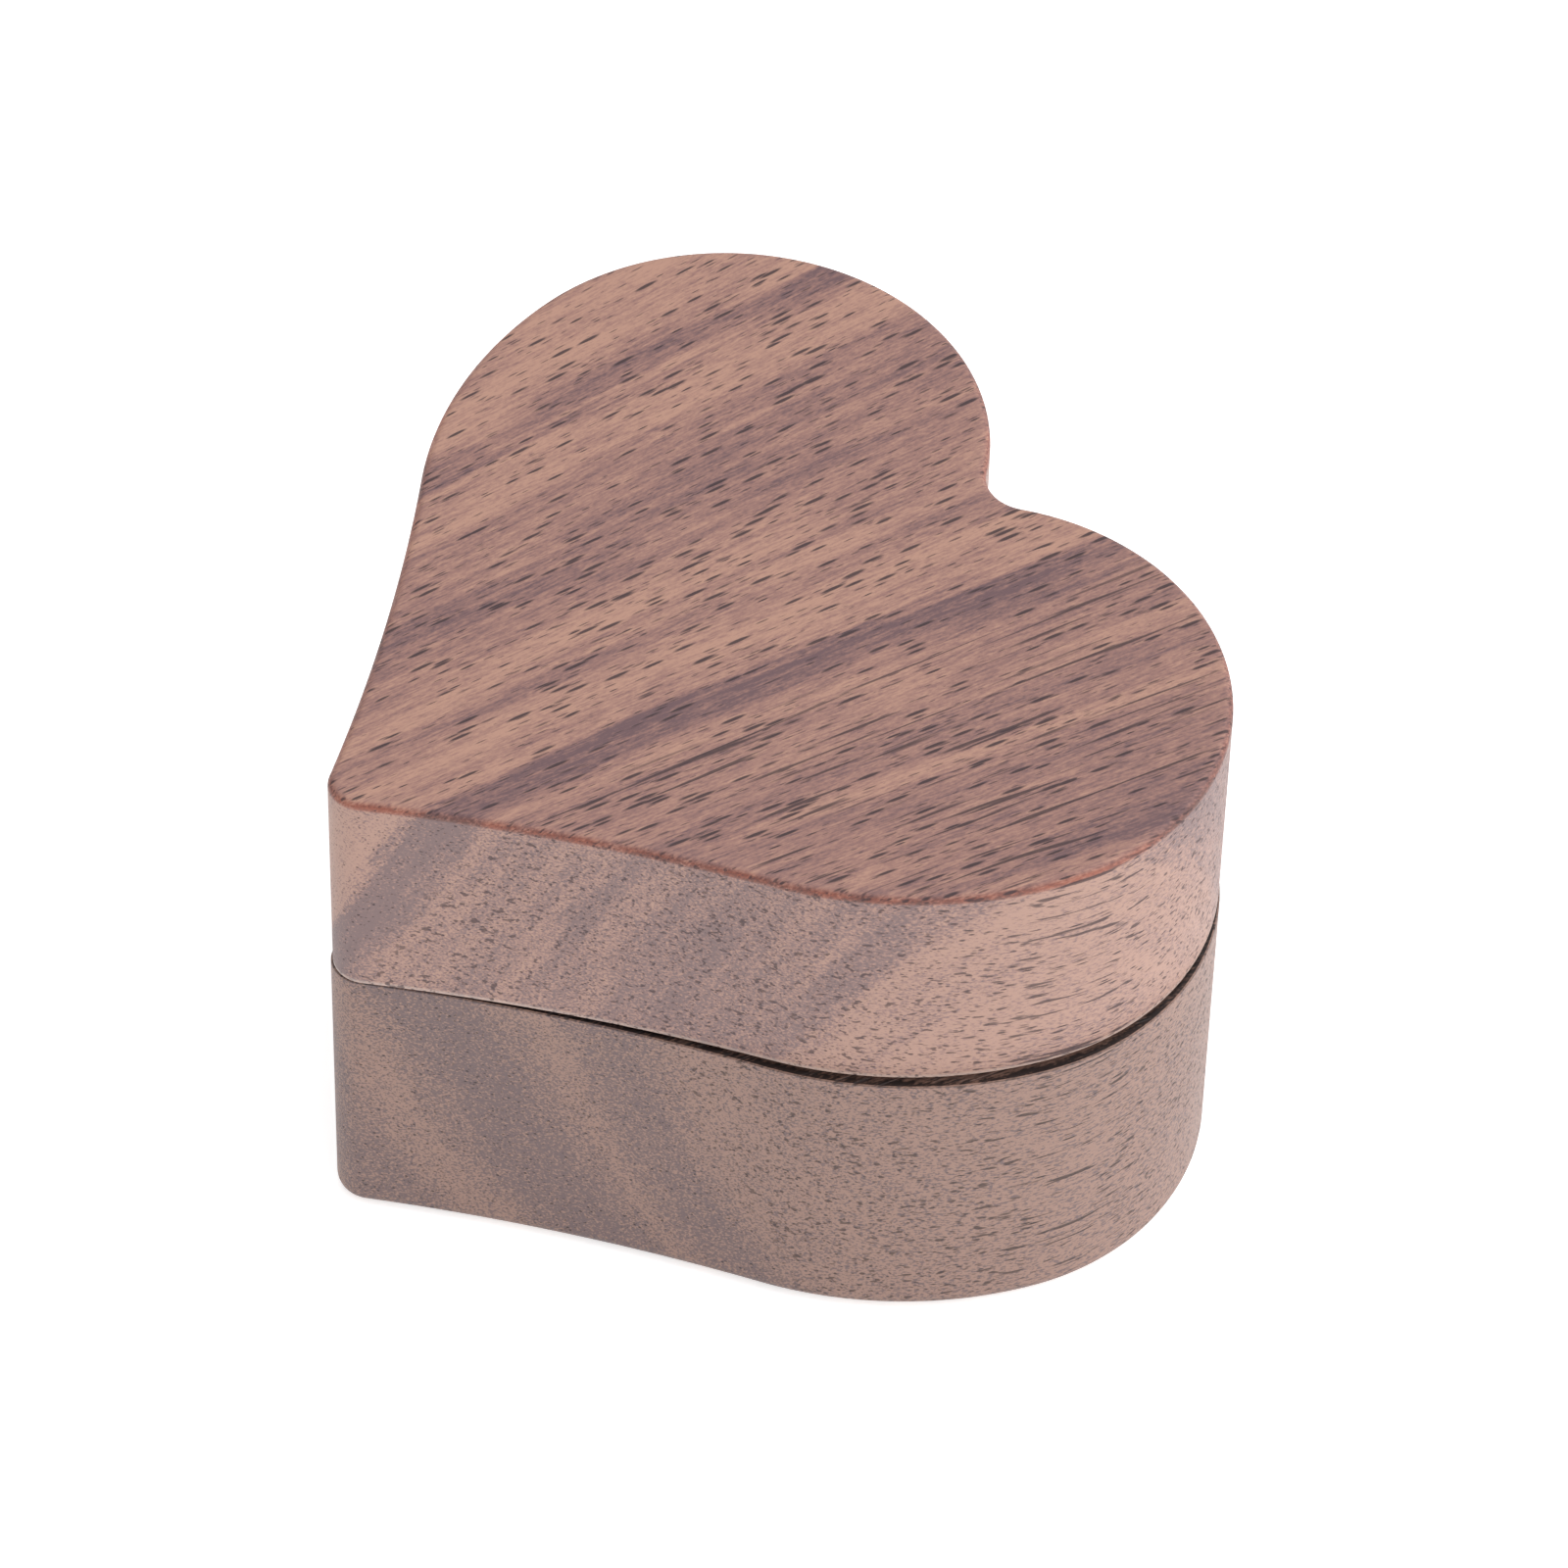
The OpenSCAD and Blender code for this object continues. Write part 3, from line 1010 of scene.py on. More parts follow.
@dataclass
class Grower:
    """A Geometry Nodes tree with named inputs, built in code and then turned into a plain mesh.

    Attributes:
        name: the name of the tree and of the piece it makes.
        material: the finish set on what it makes.
    """

    name: str
    material: Material

    def __post_init__(self) -> None:
        """Make the empty tree."""
        self.tree = bpy.data.node_groups.new(self.name, "GeometryNodeTree")
        self.tree.interface.new_socket("Geometry", in_out="INPUT", socket_type="NodeSocketGeometry")
        self.tree.interface.new_socket("Geometry", in_out="OUTPUT", socket_type="NodeSocketGeometry")
        self.sizes: dict[str, float] = {}
        self.given = self.tree.nodes.new("NodeGroupInput")

    def size(self, name: str, value: float) -> Socket:
        """Add a named size in millimetres as an input, and give its socket."""
        self.tree.interface.new_socket(name, in_out="INPUT", socket_type="NodeSocketFloat")
        self.sizes[name] = value * MM
        return self.given.outputs[name]

    def node(self, kind: str, settings: dict | None = None,
             wires: dict[str | int, Link] | Sequence[Link] = ()) -> Node:
        """Add a node to the tree, as add does."""
        return add(self.tree, kind, settings, wires)

    def grow(self, result: Node, source: Object | None = None) -> Object:
        """Close the tree and turn what it makes into a plain mesh object.

        Args:
            result: the node whose first output is the finished geometry.
            source: an object whose mesh the tree starts from; it is used up.

        Returns:
            The new object.
        """
        real = self.node("GeometryNodeRealizeInstances", wires={"Geometry": result})
        dressed = self.node("GeometryNodeSetMaterial", wires={"Geometry": real, "Material": self.material})
        self.node("NodeGroupOutput", wires={0: dressed})
        obj = source or new_object(self.name, np.zeros((0, 3)), [])
        obj.name = self.name
        grower = obj.modifiers.new("grow", "NODES")
        grower.node_group = self.tree
        for item in self.tree.interface.items_tree:
            if item.in_out == "INPUT" and item.name in self.sizes:
                grower[item.identifier] = self.sizes[item.name]
        baked(obj)
        return obj


def along_outline(name: str, material: Material, outline: np.ndarray, z: float,
                  thickness: float, height: float) -> Object:
    """Run a soft-edged strip of cloth-covered card round a hollow's wall.

    Args:
        name: the piece's name.
        material: its finish.
        outline: the closed line of the strip's middle.
        z: the height of its lower edge.
        thickness: how thick it is.
        height: how tall it is.

    Returns:
        The strip as a plain mesh object.
    """
    strip = Grower(name, material)
    n = len(outline)
    points = np.column_stack([outline, np.full(n, z + height / 2)])
    source = new_object(name, points, [])
    source.data.edges.add(n)
    source.data.edges.foreach_set("vertices", [i for k in range(n) for i in (k, (k + 1) % n)])
    source.data.update()
    path = strip.node("GeometryNodeMeshToCurve", wires={"Mesh": strip.given.outputs["Geometry"]})
    upright = strip.node("GeometryNodeSetCurveNormal", {"mode": "Z_UP"}, {"Curve": path})
    section = strip.node("GeometryNodeCurvePrimitiveQuadrilateral", wires={
        "Width": strip.size("Thickness", thickness), "Height": strip.size("Height", height)})
    soft = strip.node("GeometryNodeFilletCurve", wires={
        "Curve": section, "Radius": strip.size("Edge", thickness * 0.48)})
    set_fillet(soft)
    swept = strip.node("GeometryNodeCurveToMesh", wires={"Curve": upright, "Profile Curve": soft})
    smooth = strip.node("GeometryNodeSetShadeSmooth", wires={"Geometry": swept})
    return strip.grow(smooth, source)


def set_fillet(node: Node) -> None:
    """Make a Fillet Curve node lay a round corner of several points."""
    node.mode = "POLY"
    node.inputs["Count"].default_value = 4


# ---------------------------------------------------------------- padded pieces


@dataclass
class Pad:
    """A foam pad in a velvet cover, swollen by a short cloth simulation.

    Attributes:
        name: what the pad is called; its two pieces are name_cover and name_foam.
        form: gives the pad's closed solid, cut smaller at its sides and at its crown by two lengths.
        pinned: True for the points that are held still, given an array of points.
        body: the body that carries it.
        start: how much smaller than its CAD solid the pad is, at its sides and crown, before it swells.
        swell: how far a point may move sideways and upright.
        grain: the spacing of the mesh that swells.
        enlarge: how many times larger it is while it swells, because cloth is solved in metres.
    """

    name: str
    form: Callable[[float, float], Object]
    pinned: Callable[[np.ndarray], np.ndarray]
    body: Body
    start: tuple[float, float] = (0.35, 0.9)
    swell: tuple[float, float] = (0.42, 1.3)
    grain: float = 0.6
    enlarge: float = 10.0

    def remeshed(self, side: float, crown: float, grain: float) -> Object:
        """Give the pad's form as an even mesh.

        Args:
            side: how much smaller it is than its CAD solid at its sides.
            crown: how much smaller it is at its crown.
            grain: the mesh spacing.

        Returns:
            The object.
        """
        obj = self.form(side, crown)
        voxels = obj.modifiers.new("voxels", "REMESH")
        voxels.mode, voxels.voxel_size = "VOXEL", grain * MM
        even = obj.modifiers.new("even", "SMOOTH")
        even.factor, even.iterations = 0.5, 8
        baked(obj)
        return obj

    def swollen(self, obj: Object) -> None:
        """Blow the mesh up with cloth pressure and keep each point near where it started.

        Args:
            obj: the even mesh, which is changed.
        """
        grow = Matrix.Scale(self.enlarge, 4)
        rest = points_of(obj)
        obj.data.transform(grow)
        held = obj.vertex_groups.new(name="held")
        held.add([int(i) for i in np.flatnonzero(self.pinned(rest))], 1.0, "REPLACE")
        cloth = obj.modifiers.new("swell", "CLOTH")
        cloth.settings.use_pressure = True
        cloth.settings.uniform_pressure_force = 5
        cloth.settings.quality = 6
        cloth.settings.mass = 0.3
        cloth.settings.tension_stiffness = cloth.settings.compression_stiffness = 12
        cloth.settings.bending_stiffness = 0.6
        cloth.settings.vertex_group_mass = "held"
        cloth.settings.effector_weights.gravity = 0
        steps = 20
        cloth.point_cache.frame_start, cloth.point_cache.frame_end = 1, steps
        scene = bpy.context.scene
        for step in range(1, steps + 1):
            scene.frame_set(step)
        graph = bpy.context.evaluated_depsgraph_get()
        moved = points_of(obj.evaluated_get(graph)) / self.enlarge - rest
        scene.frame_set(1)
        obj.modifiers.remove(cloth)
        obj.vertex_groups.clear()
        for axes, limit in ((slice(0, 2), self.swell[0]), (slice(2, 3), self.swell[1])):
            size = np.linalg.norm(moved[:, axes], axis=1, keepdims=True)
            moved[:, axes] *= np.tanh(size / limit) * limit / np.maximum(size, 1e-9)
        obj.data.vertices.foreach_set("co", ((rest + moved) * MM).ravel())
        obj.data.update()

    def build(self, velvet: Material, foam: Material) -> None:
        """Make and dress the cover and the foam.

        Args:
            velvet: the cover's finish.
            foam: the core's finish.
        """
        cover = self.remeshed(*self.start, self.grain)
        cover.name = f"{self.name}_velvet"
        self.swollen(cover)
        ease = cover.modifiers.new("ease", "SMOOTH")
        ease.factor, ease.iterations = 0.5, 4
        wall = cover.modifiers.new("cloth", "SOLIDIFY")
        wall.thickness, wall.offset = 0.5 * MM, -1
        fine = cover.modifiers.new("fine", "SUBSURF")
        fine.levels = fine.render_levels = 1
        baked(cover)
        crisp(cover, 180)
        core = self.remeshed(self.start[0] + 1.2, self.start[1] + 1.0, 0.9)
        core.name = f"{self.name}_core"
        crisp(core, 60)
        finished(cover, self.body, velvet, f"{self.name}_cover")
        finished(core, self.body, foam, f"{self.name}_foam")


def points_of(obj: Object) -> np.ndarray:
    """Give an object's mesh points in millimetres."""
    flat = np.empty(len(obj.data.vertices) * 3, np.float32)
    obj.data.vertices.foreach_get("co", flat)
    return flat.reshape(-1, 3).astype(float) / MM


# ---------------------------------------------------------------- sub-assemblies


@dataclass(frozen=True)
class Finishes:
    """The materials of all pieces, made once, each named for what it dresses."""

    lid_wood: Material
    base_wood: Material
    velvet: Material
    foam: Material
    card: Material
    nylon: Material
    brass: Material
    steel: Material
    nickel: Material


@dataclass
class Carcass:
    """What the base and the lid have in common: a heart-shaped block with a hollow and two magnets.

    Attributes:
        heart: the outline.
        finishes: the materials.
        body: the body that carries it; the names of its CAD nodes start with the body's.
        wood: its block's material slot.
        mouth_edge: radius of the eased edge round the hollow's mouth.
        clearance: gap between the wood and a metal piece let into it.
        bevel: width of the bevel round a hole.
        lining_thickness: thickness of the velvet strip round the hollow's wall.
        lining_gap: gap between that strip and the wall.
        pad_gap: gap between a pad and the wall.
        pad_lift: gap between a pad and what it is glued to.
        glued: depth of the slice of a pad that is held still by the glue.
    """

    heart: Heart
    finishes: Finishes
    body: Body
    wood: Slot
    mouth_edge: float = 0.4
    clearance: float = 0.03
    bevel: float = 0.15
    lining_thickness: float = 0.56
    lining_gap: float = 0.02
    pad_gap: float = 0.7
    pad_lift: float = 0.05
    glued: float = 0.7

    def __post_init__(self) -> None:
        """Start with shapes that rest where they are drawn."""
        self.turn = Matrix.Identity(4)

    def part(self, piece: str) -> str:
        """Give the name of one of this half's CAD nodes."""
        return f"{self.body.value}_{piece}"

    def outer(self, inset: float) -> np.ndarray:
        """Give the outside line, moved inwards by inset."""
        return self.heart.loop(self.heart.outside(), inset)

    def inner(self, inset: float) -> np.ndarray:
        """Give the hollow's line, moved inwards by inset."""
        return self.heart.loop(self.heart.inside(), inset)

    def hollow(self, closed: float, mouth: float) -> Object:
        """Make the tool that cuts the hollow.

        Args:
            closed: the height of the hollow's flat end.
            mouth: the height of the face it opens in.

        Returns:
            The tool, which flares by the eased edge at the mouth and runs past it.
        """
        way = 1 if mouth > closed else -1
        edge, past = self.mouth_edge, 2.0
        flare = [(edge_inset(edge, rise), mouth - way * rise) for rise in np.linspace(edge, 0, 6)]
        profile = [(0.0, closed), *flare, (-edge, mouth + way * past)]
        tool = loft("hollow", self.inner, profile if way > 0 else profile[::-1])
        tool.data.transform(self.turn)
        return tool

    def blank(self, foot: Edge, head: Edge) -> Object:
        """Make the walnut block before anything is cut from it.

        Args:
            foot: its lower edge.
            head: its upper edge.

        Returns:
            The block.
        """
        low, high = extent(self.part("shell"))
        profile, tint_and_painted_light = block(low[2], high[2], foot, head)
        obj = loft(self.part("walnut"), self.outer, profile, eased=tint_and_painted_light)
        obj.data.transform(self.turn)
        return obj

    def cut(self, obj: Object, mouth: float, *tools: Object) -> None:
        """Cut the hollow, the bores and the magnets' holes, and hand the block over.

        Args:
            obj: the block.
            mouth: the height of the face that meets the other half.
            tools: the hollow's and the bores' tools.
        """
        holes = [self.magnet_hole(self.part(f"magnet_{side}"), mouth) for side in ("left", "right")]
        carve(obj, *tools, *holes)
        crisp(obj)
        wood = getattr(self.finishes, self.wood.value)
        finished(obj, self.body, wood, self.part("shell"))

    def lining(self) -> None:
        """Make the velvet strip round the hollow's wall."""
        node, thickness = self.part("wall_lining"), self.lining_thickness
        low, high = extent(node)
        line = self.inner(self.lining_gap + thickness / 2)
        obj = along_outline(self.part("velvet_wall"), self.finishes.velvet, line, low[2], thickness,
                            high[2] - low[2])
        obj.data.transform(self.turn)
        finished(obj, self.body, self.finishes.velvet, node)

    def magnet(self, node: str) -> None:
        """Make a disc magnet in its CAD node's place.

        Args:
            node: the CAD node.
        """
        low, high = extent(node)
        centre = (low + high) / 2
        radius = (high[0] - low[0]) / 2 - self.clearance
        disc = lathe(f"{node}_disc", rounded_ring(radius, 0.0, low[2], high[2], 0.2), centre[:2])
        crisp(disc)
        finished(disc, self.body, self.finishes.nickel, node)

    def magnet_hole(self, node: str, mouth: float) -> Object:
        """Make the tool that cuts a magnet's hole.

        Args:
            node: the magnet's CAD node.
            mouth: the height of the face it opens in.

        Returns:
            The tool.
        """
        low, high = extent(node)
        centre = (low + high) / 2
        radius = (high[0] - low[0]) / 2 + self.clearance
        way = 1 if mouth > centre[2] else -1
        floor = low[2] if way > 0 else high[2]
        wide = radius + self.bevel
        profile = [(0.0, floor), (radius, floor), (radius, mouth - way * self.bevel),
                   (wide, mouth), (wide, mouth + way), (0.0, mouth + way)]
        return lathe("magnet_hole", profile if way > 0 else profile[::-1], centre[:2], 48)

    def build(self) -> None:
        """Make and dress every piece of this half but the pivot's."""
        self.shell()
        self.lining()
        self.pads()
        for side in ("left", "right"):
            self.magnet(self.part(f"magnet_{side}"))
        repaint(self.part("board"), self.finishes.card)


def edge_inset(edge: float, rise: float) -> float:
    """Give the outward flare of a round edge at a distance from the face, as a negative inset."""
    return -(edge - math.sqrt(max(edge ** 2 - (edge - rise) ** 2, 0.0)))


@dataclass
class Base(Carcass):
    """The bowl: a walnut block with a velvet-lined hollow, a ring cushion in two pads, and the pivot's bore.

    Attributes:
        foot: the block's lower edge.
        rim: its upper edge, round the seam.
        slit: width of the slit between the pads.
        slit_lean: how far the slit leans back, in degrees, so that the ring lies below the lid.
        slit_y: where the slit meets the pads' top.
    """

    body: Body = Body.BASE
    wood: Slot = Slot.BASE_WOOD
    # The rim's dark tint, on its rounded edge and on the flat just inside it, is painted shadow where the lid
    # shades the seam; the foot's edge takes a little of the same darkening.
    foot: Edge = Edge(radius=1.3, tint_and_painted_light=0.2)
    rim: Edge = Edge(radius=0.12, tint_and_painted_light=0.6, flat_tint_and_shadow=1.0)
    slit: float = 0.5
    slit_lean: float = 45.0
    slit_y: float = 9.0

    def shell(self) -> None:
        """Make the walnut block with its hollow and bores."""
        low, high = extent("base_shell")
        board, _ = extent("base_board")
        spans = [extent(node) for node in ("pivot_bush", "thrust_washer", "screw_plug")]
        (bush, bush_top), (washer, _), _ = spans
        bush_r, washer_r, plug_r = ((b - a)[0] / 2 + self.clearance for a, b in spans)
        obj = self.blank(self.foot, self.rim)
        wide, plug_bevel = washer_r + self.bevel, 0.2
        bore = lathe("bore", [
            (0.0, low[2] - 1), (plug_r + plug_bevel, low[2] - 1), (plug_r + plug_bevel, low[2]),
            (plug_r, low[2] + plug_bevel), (plug_r, bush[2]), (bush_r, bush[2]), (bush_r, washer[2]),
            (washer_r, washer[2]), (washer_r, high[2] - self.bevel), (wide, high[2]),
            (wide, high[2] + 1), (0.0, high[2] + 1)], (bush + bush_top)[:2] / 2, 96)
        self.cut(obj, high[2], self.hollow(board[2], high[2]), bore)

    def pad_form(self, side: Side) -> Callable[[float, float], Object]:
        """Give the function that makes one pad's solid.

        Args:
            side: which side of the slit it lies on.

        Returns:
            A function from how much smaller the sides and the crown are, in millimetres, to the solid.
        """
        low, high = extent(f"{side.name.lower()}_pad_cover")
        depth, half = 90.0, 60.0

        def form(skin: float, crown: float) -> Object:
            """Make the pad's solid.

            Args:
                skin: how much smaller it is at its sides.
                crown: how much smaller it is at its top.

            Returns:
                The solid.
            """
            inset, foot = self.pad_gap + skin, low[2] + self.pad_lift + 0.6 * skin
            obj = loft("pad", self.inner, [(inset, foot), (inset, high[2] - crown)])
            near = self.slit / 2 + skin * 0.8
            ys = (near, near + depth) if side is Side.REAR else (-near - depth, -near)
            corners = [(x, y, z) for x in (-half, half) for y in ys for z in (-half, half)]
            slab = new_object("slab", np.array(corners), [
                (0, 1, 3, 2), (4, 6, 7, 5), (0, 4, 5, 1), (2, 3, 7, 6), (0, 2, 6, 4), (1, 5, 7, 3)])
            slab.data.transform(Matrix.Translation(Vector((0, self.slit_y, high[2])) * MM)
                                @ Matrix.Rotation(math.radians(-self.slit_lean), 4, "X"))
            carve(obj, slab, operation="INTERSECT")
            return obj

        return form

    def pads(self) -> None:
        """Make the rear and front pads that grip the ring between them."""
        low, _ = extent("rear_pad_cover")
        for side in Side:
            pad = Pad(name=f"{side.name.lower()}_pad", form=self.pad_form(side),
                      pinned=lambda at: at[:, 2] < low[2] + self.glued, body=self.body)
            pad.build(self.finishes.velvet, self.finishes.foam)


@dataclass
class Lid(Carcass):
    """The lid: a lower walnut block with a velvet-lined hollow and a pad that faces the ring.

    Attributes:
        rim: the block's lower edge, round the seam.
        top: its upper edge.
        rest_swing: how far the lid is turned at rest, in degrees.
    """

    body: Body = Body.LID
    wood: Slot = Slot.LID_WOOD
    # Its lower edge takes a painted highlight: a pale line where the edge catches the light.
    rim: Edge = Edge(radius=0.12, tint_and_painted_light=-0.5)
    top: Edge = Edge(radius=0.6, tint_and_painted_light=1.0)
    rest_swing: float = 1.4

    def __post_init__(self) -> None:
        """Find the turn that carries the lid's shapes to where it rests."""
        low, high = extent("lid_insert")
        self.pivot = (low + high) / 2
        centre = Vector((self.pivot[0], self.pivot[1], 0)) * MM
        self.turn = (Matrix.Translation(centre) @ Matrix.Rotation(math.radians(self.rest_swing), 4, "Z")
                     @ Matrix.Translation(-centre))

    def shell(self) -> None:
        """Make the walnut block with its hollow, its insert's bore and its magnet holes."""
        low, _ = extent("lid_shell")
        _, board = extent("lid_board")
        insert, insert_top = extent("lid_insert")
        obj = self.blank(self.rim, self.top)
        hollow = self.hollow(board[2], low[2])
        radius, bevel, end = (insert_top - insert)[0] / 2 + self.clearance, 0.2, insert_top[2] + 0.1
        bore = lathe("bore", [
            (0.0, low[2] - 1), (radius + bevel, low[2] - 1), (radius + bevel, low[2]),
            (radius, low[2] + bevel), (radius, end), (0.0, end)], self.pivot[:2], 96)
        self.cut(obj, low[2], hollow, bore)

    def pads(self) -> None:
        """Make the one pad that lines the lid's hollow."""
        low, high = extent("lid_pad_cover")

        def form(skin: float, crown: float) -> Object:
            """Make the pad's solid.

            Args:
                skin: how much smaller it is at its sides.
                crown: how much smaller it is at the face it shows.

            Returns:
                The solid.
            """
            inset, foot = self.pad_gap + skin, high[2] - self.pad_lift - 0.6 * skin
            obj = loft("pad", self.inner, [(inset, low[2] + crown), (inset, foot)])
            obj.data.transform(self.turn)
            return obj

        pad = Pad(name="lid_pad", form=form, pinned=lambda at: at[:, 2] > high[2] - self.glued,
                  body=self.body)
        pad.build(self.finishes.velvet, self.finishes.foam)


def repaint(node: str, material: Material) -> None:
    """Give a CAD node that stays in view a finish of its own."""
    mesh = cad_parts[node].data
    mesh.materials.clear()
    mesh.materials.append(material)


@dataclass
class Pivot:
    """The swivel: a shoulder screw from below that the lid turns on, with its bush, washers and insert.

    Attributes:
        finishes: the materials.
        thread_r: outer radius of the screw's thread.
        pitch: the thread's pitch.
        tooth: the thread's depth.
        head_height: height of the screw's head.
        shoulder_r: radius of the screw's plain shoulder.
        socket_r: radius of the hex socket, across its corners.
        bush_bore: the bush's inner radius.
        washer_bore: the thrust washer's inner radius.
        spring_bore: the disc spring's inner radius.
        spring_rise: how much higher the spring is at its bore than at its rim.
        insert_bore: the insert's inner radius.
        flange: height of the insert's flange.
        knurl: height of the insert's knurl.
        ribs: the number of ribs in the knurl.
    """

    finishes: Finishes
    thread_r: float = 1.97
    pitch: float = 0.7
    tooth: float = 0.43
    head_height: float = 2.4
    shoulder_r: float = 2.5
    socket_r: float = 2.0
    bush_bore: float = 2.58
    washer_bore: float = 2.7
    spring_bore: float = 2.6
    spring_rise: float = 0.35
    insert_bore: float = 2.0
    flange: float = 1.2
    knurl: float = 0.3
    ribs: int = 36

    def __post_init__(self) -> None:
        """Find the axis that every piece is turned about."""
        low, high = extent("pivot_bush")
        self.at = (low + high)[:2] / 2

    def screw(self) -> None:
        """Make the shoulder screw with its hex socket and its thread."""
        low, high = extent("pivot_screw")
        lid, _ = extent("lid_shell")
        at = (low + high)[:2] / 2
        head_r, neck = (high - low)[0] / 2, self.shoulder_r
        core_r = self.thread_r - self.tooth
        head_top, collar = low[2] + self.head_height, lid[2]
        obj = lathe("shoulder_screw", [
            (0.0, low[2]), (head_r - 0.5, low[2]), (head_r - 0.15, low[2] + 0.12), (head_r, low[2] + 0.45),
            (head_r, head_top - 0.25), (head_r - 0.1, head_top - 0.07), (head_r - 0.3, head_top),
            (neck, head_top), (neck, collar - 0.25), (neck - 0.25, collar),
            (core_r, collar), (core_r, high[2] - 0.5), (core_r - 0.5, high[2]), (0.0, high[2])], at)
        carve(obj, lathe("socket", [
            (0.0, low[2] - 1), (self.socket_r, low[2] - 1), (self.socket_r, low[2] + 1.4),
            (0.0, low[2] + 1.7)], at, 6))
        carve(obj, self.ridge(at, collar + 0.5, high[2] - 0.7), operation="UNION")
        crisp(obj)
        finished(obj, Body.LID, self.finishes.steel, "pivot_screw")

    def ridge(self, at: np.ndarray, low: float, high: float) -> Object:
        """Wind the thread's ridge round the screw's core.

        Args:
            at: the screw's axis.
            low: the height where the ridge starts.
            high: the height where it ends.

        Returns:
            The ridge.
        """
        thread = Grower("thread", self.finishes.steel)
        spiral = thread.node("GeometryNodeCurveSpiral", wires={
            "Resolution": 24, "Rotations": (high - low) / self.pitch,
            "Start Radius": thread.size("Radius", self.thread_r - self.tooth * 0.8),
            "End Radius": thread.given.outputs["Radius"], "Height": thread.size("Height", high - low)})
        tooth = thread.node("GeometryNodeCurvePrimitiveCircle", wires={
            "Resolution": 3, "Radius": thread.size("Tooth", self.tooth * 0.75)})
        wound = thread.node("GeometryNodeCurveToMesh", wires={
            "Curve": spiral, "Profile Curve": tooth, "Fill Caps": True})
        return thread.grow(thread.node("GeometryNodeTransform", wires={
            "Geometry": wound, "Translation": (at[0] * MM, at[1] * MM, low * MM)}))

    def insert(self) -> None:
        """Make the brass insert with its knurled waist."""
        low, high = extent("lid_insert")
        at = (low + high)[:2] / 2
        outer = (high - low)[0] / 2
        valley, bore, flange = outer - self.knurl, self.insert_bore, self.flange
        obj = lathe("threaded_insert", [
            (bore + 0.3, low[2]), (outer - 0.15, low[2]), (outer, low[2] + 0.15),
            (outer, low[2] + flange), (valley, low[2] + flange + 0.2), (valley, high[2] - 1.2),
            (outer - 0.6, high[2]), (bore + 0.3, high[2]), (bore, high[2] - 0.3),
            (bore, low[2] + 0.3)], at, 96)
        knurl = Grower("knurl", self.finishes.brass)
        ring = knurl.node("GeometryNodeMeshCircle", wires={
            "Vertices": self.ribs, "Radius": knurl.size("Radius", valley)})
        rib = knurl.node("GeometryNodeMeshCone", wires={
            "Vertices": 4, "Radius Top": knurl.size("Crest", 0.16),
            "Radius Bottom": knurl.given.outputs["Crest"],
            "Depth": knurl.size("Length", high[2] - low[2] - flange - 1.8)})
        ribs = knurl.node("GeometryNodeInstanceOnPoints", wires={
            "Points": ring, "Instance": rib.outputs["Mesh"], "Rotation": turned_outwards(knurl)})
        middle = (low[2] + flange + 0.4 + high[2] - 1.4) / 2
        carve(obj, knurl.grow(knurl.node("GeometryNodeTransform", wires={
            "Geometry": ribs, "Translation": (at[0] * MM, at[1] * MM, middle * MM)})), operation="UNION")
        crisp(obj)
        finished(obj, Body.LID, self.finishes.brass, "lid_insert")

    def ring(self, name: str, node: str, slot: Slot, bore: float, edge: float, gap: float = 0.0) -> None:
        """Turn and dress one of the base's plain rings, or a disc where bore is 0.

        Args:
            name: the piece's name.
            node: its CAD node.
            slot: its material slot.
            bore: its inner radius.
            edge: radius of its edges.
            gap: how much smaller it is all round than its CAD node.
        """
        low, high = extent(node)
        profile = rounded_ring((high - low)[0] / 2 - gap, bore, low[2], high[2], edge)
        obj = lathe(name, profile, self.at, 72)
        crisp(obj)
        finished(obj, Body.BASE, getattr(self.finishes, slot.value), node)

    def spring(self) -> None:
        """Turn the disc spring, a shallow cone that presses the screw's head down."""
        low, high = extent("disc_spring")
        rise, inner, outer = self.spring_rise, self.spring_bore, (high - low)[0] / 2
        obj = lathe("disc_spring_steel", [
            (inner, low[2] + rise), (outer - 0.05, low[2]), (outer, low[2] + 0.08),
            (outer, high[2] - rise - 0.08), (outer - 0.05, high[2] - rise), (inner + 0.05, high[2]),
            (inner, high[2] - 0.05)], self.at, 72)
        crisp(obj)
        finished(obj, Body.LID, self.finishes.steel, "disc_spring")

    def build(self) -> None:
        """Make and dress every piece of the swivel."""
        self.ring("brass_bush", "pivot_bush", Slot.BRASS, self.bush_bore, 0.2)
        self.ring("nylon_washer", "thrust_washer", Slot.NYLON, self.washer_bore, 0.12)
        self.ring("walnut_plug", "screw_plug", Slot.BASE_WOOD, 0.0, 0.25, gap=0.03)
        self.spring()
        self.screw()
        self.insert()


def turned_outwards(knurl: Grower) -> Node:
    """Give, for each point of a ring, the turn that faces it away from the ring's centre.

    Args:
        knurl: the tree that takes the nodes.

    Returns:
        The node that holds the turn.
    """
    place = knurl.node("GeometryNodeInputPosition")
    parts = knurl.node("ShaderNodeSeparateXYZ", wires={0: place})
    turn = add(knurl.tree, "ARCTAN2", wires=(parts.outputs["Y"], parts.outputs["X"]))
    return knurl.node("ShaderNodeCombineXYZ", wires={"Z": turn})


# ---------------------------------------------------------------- studio


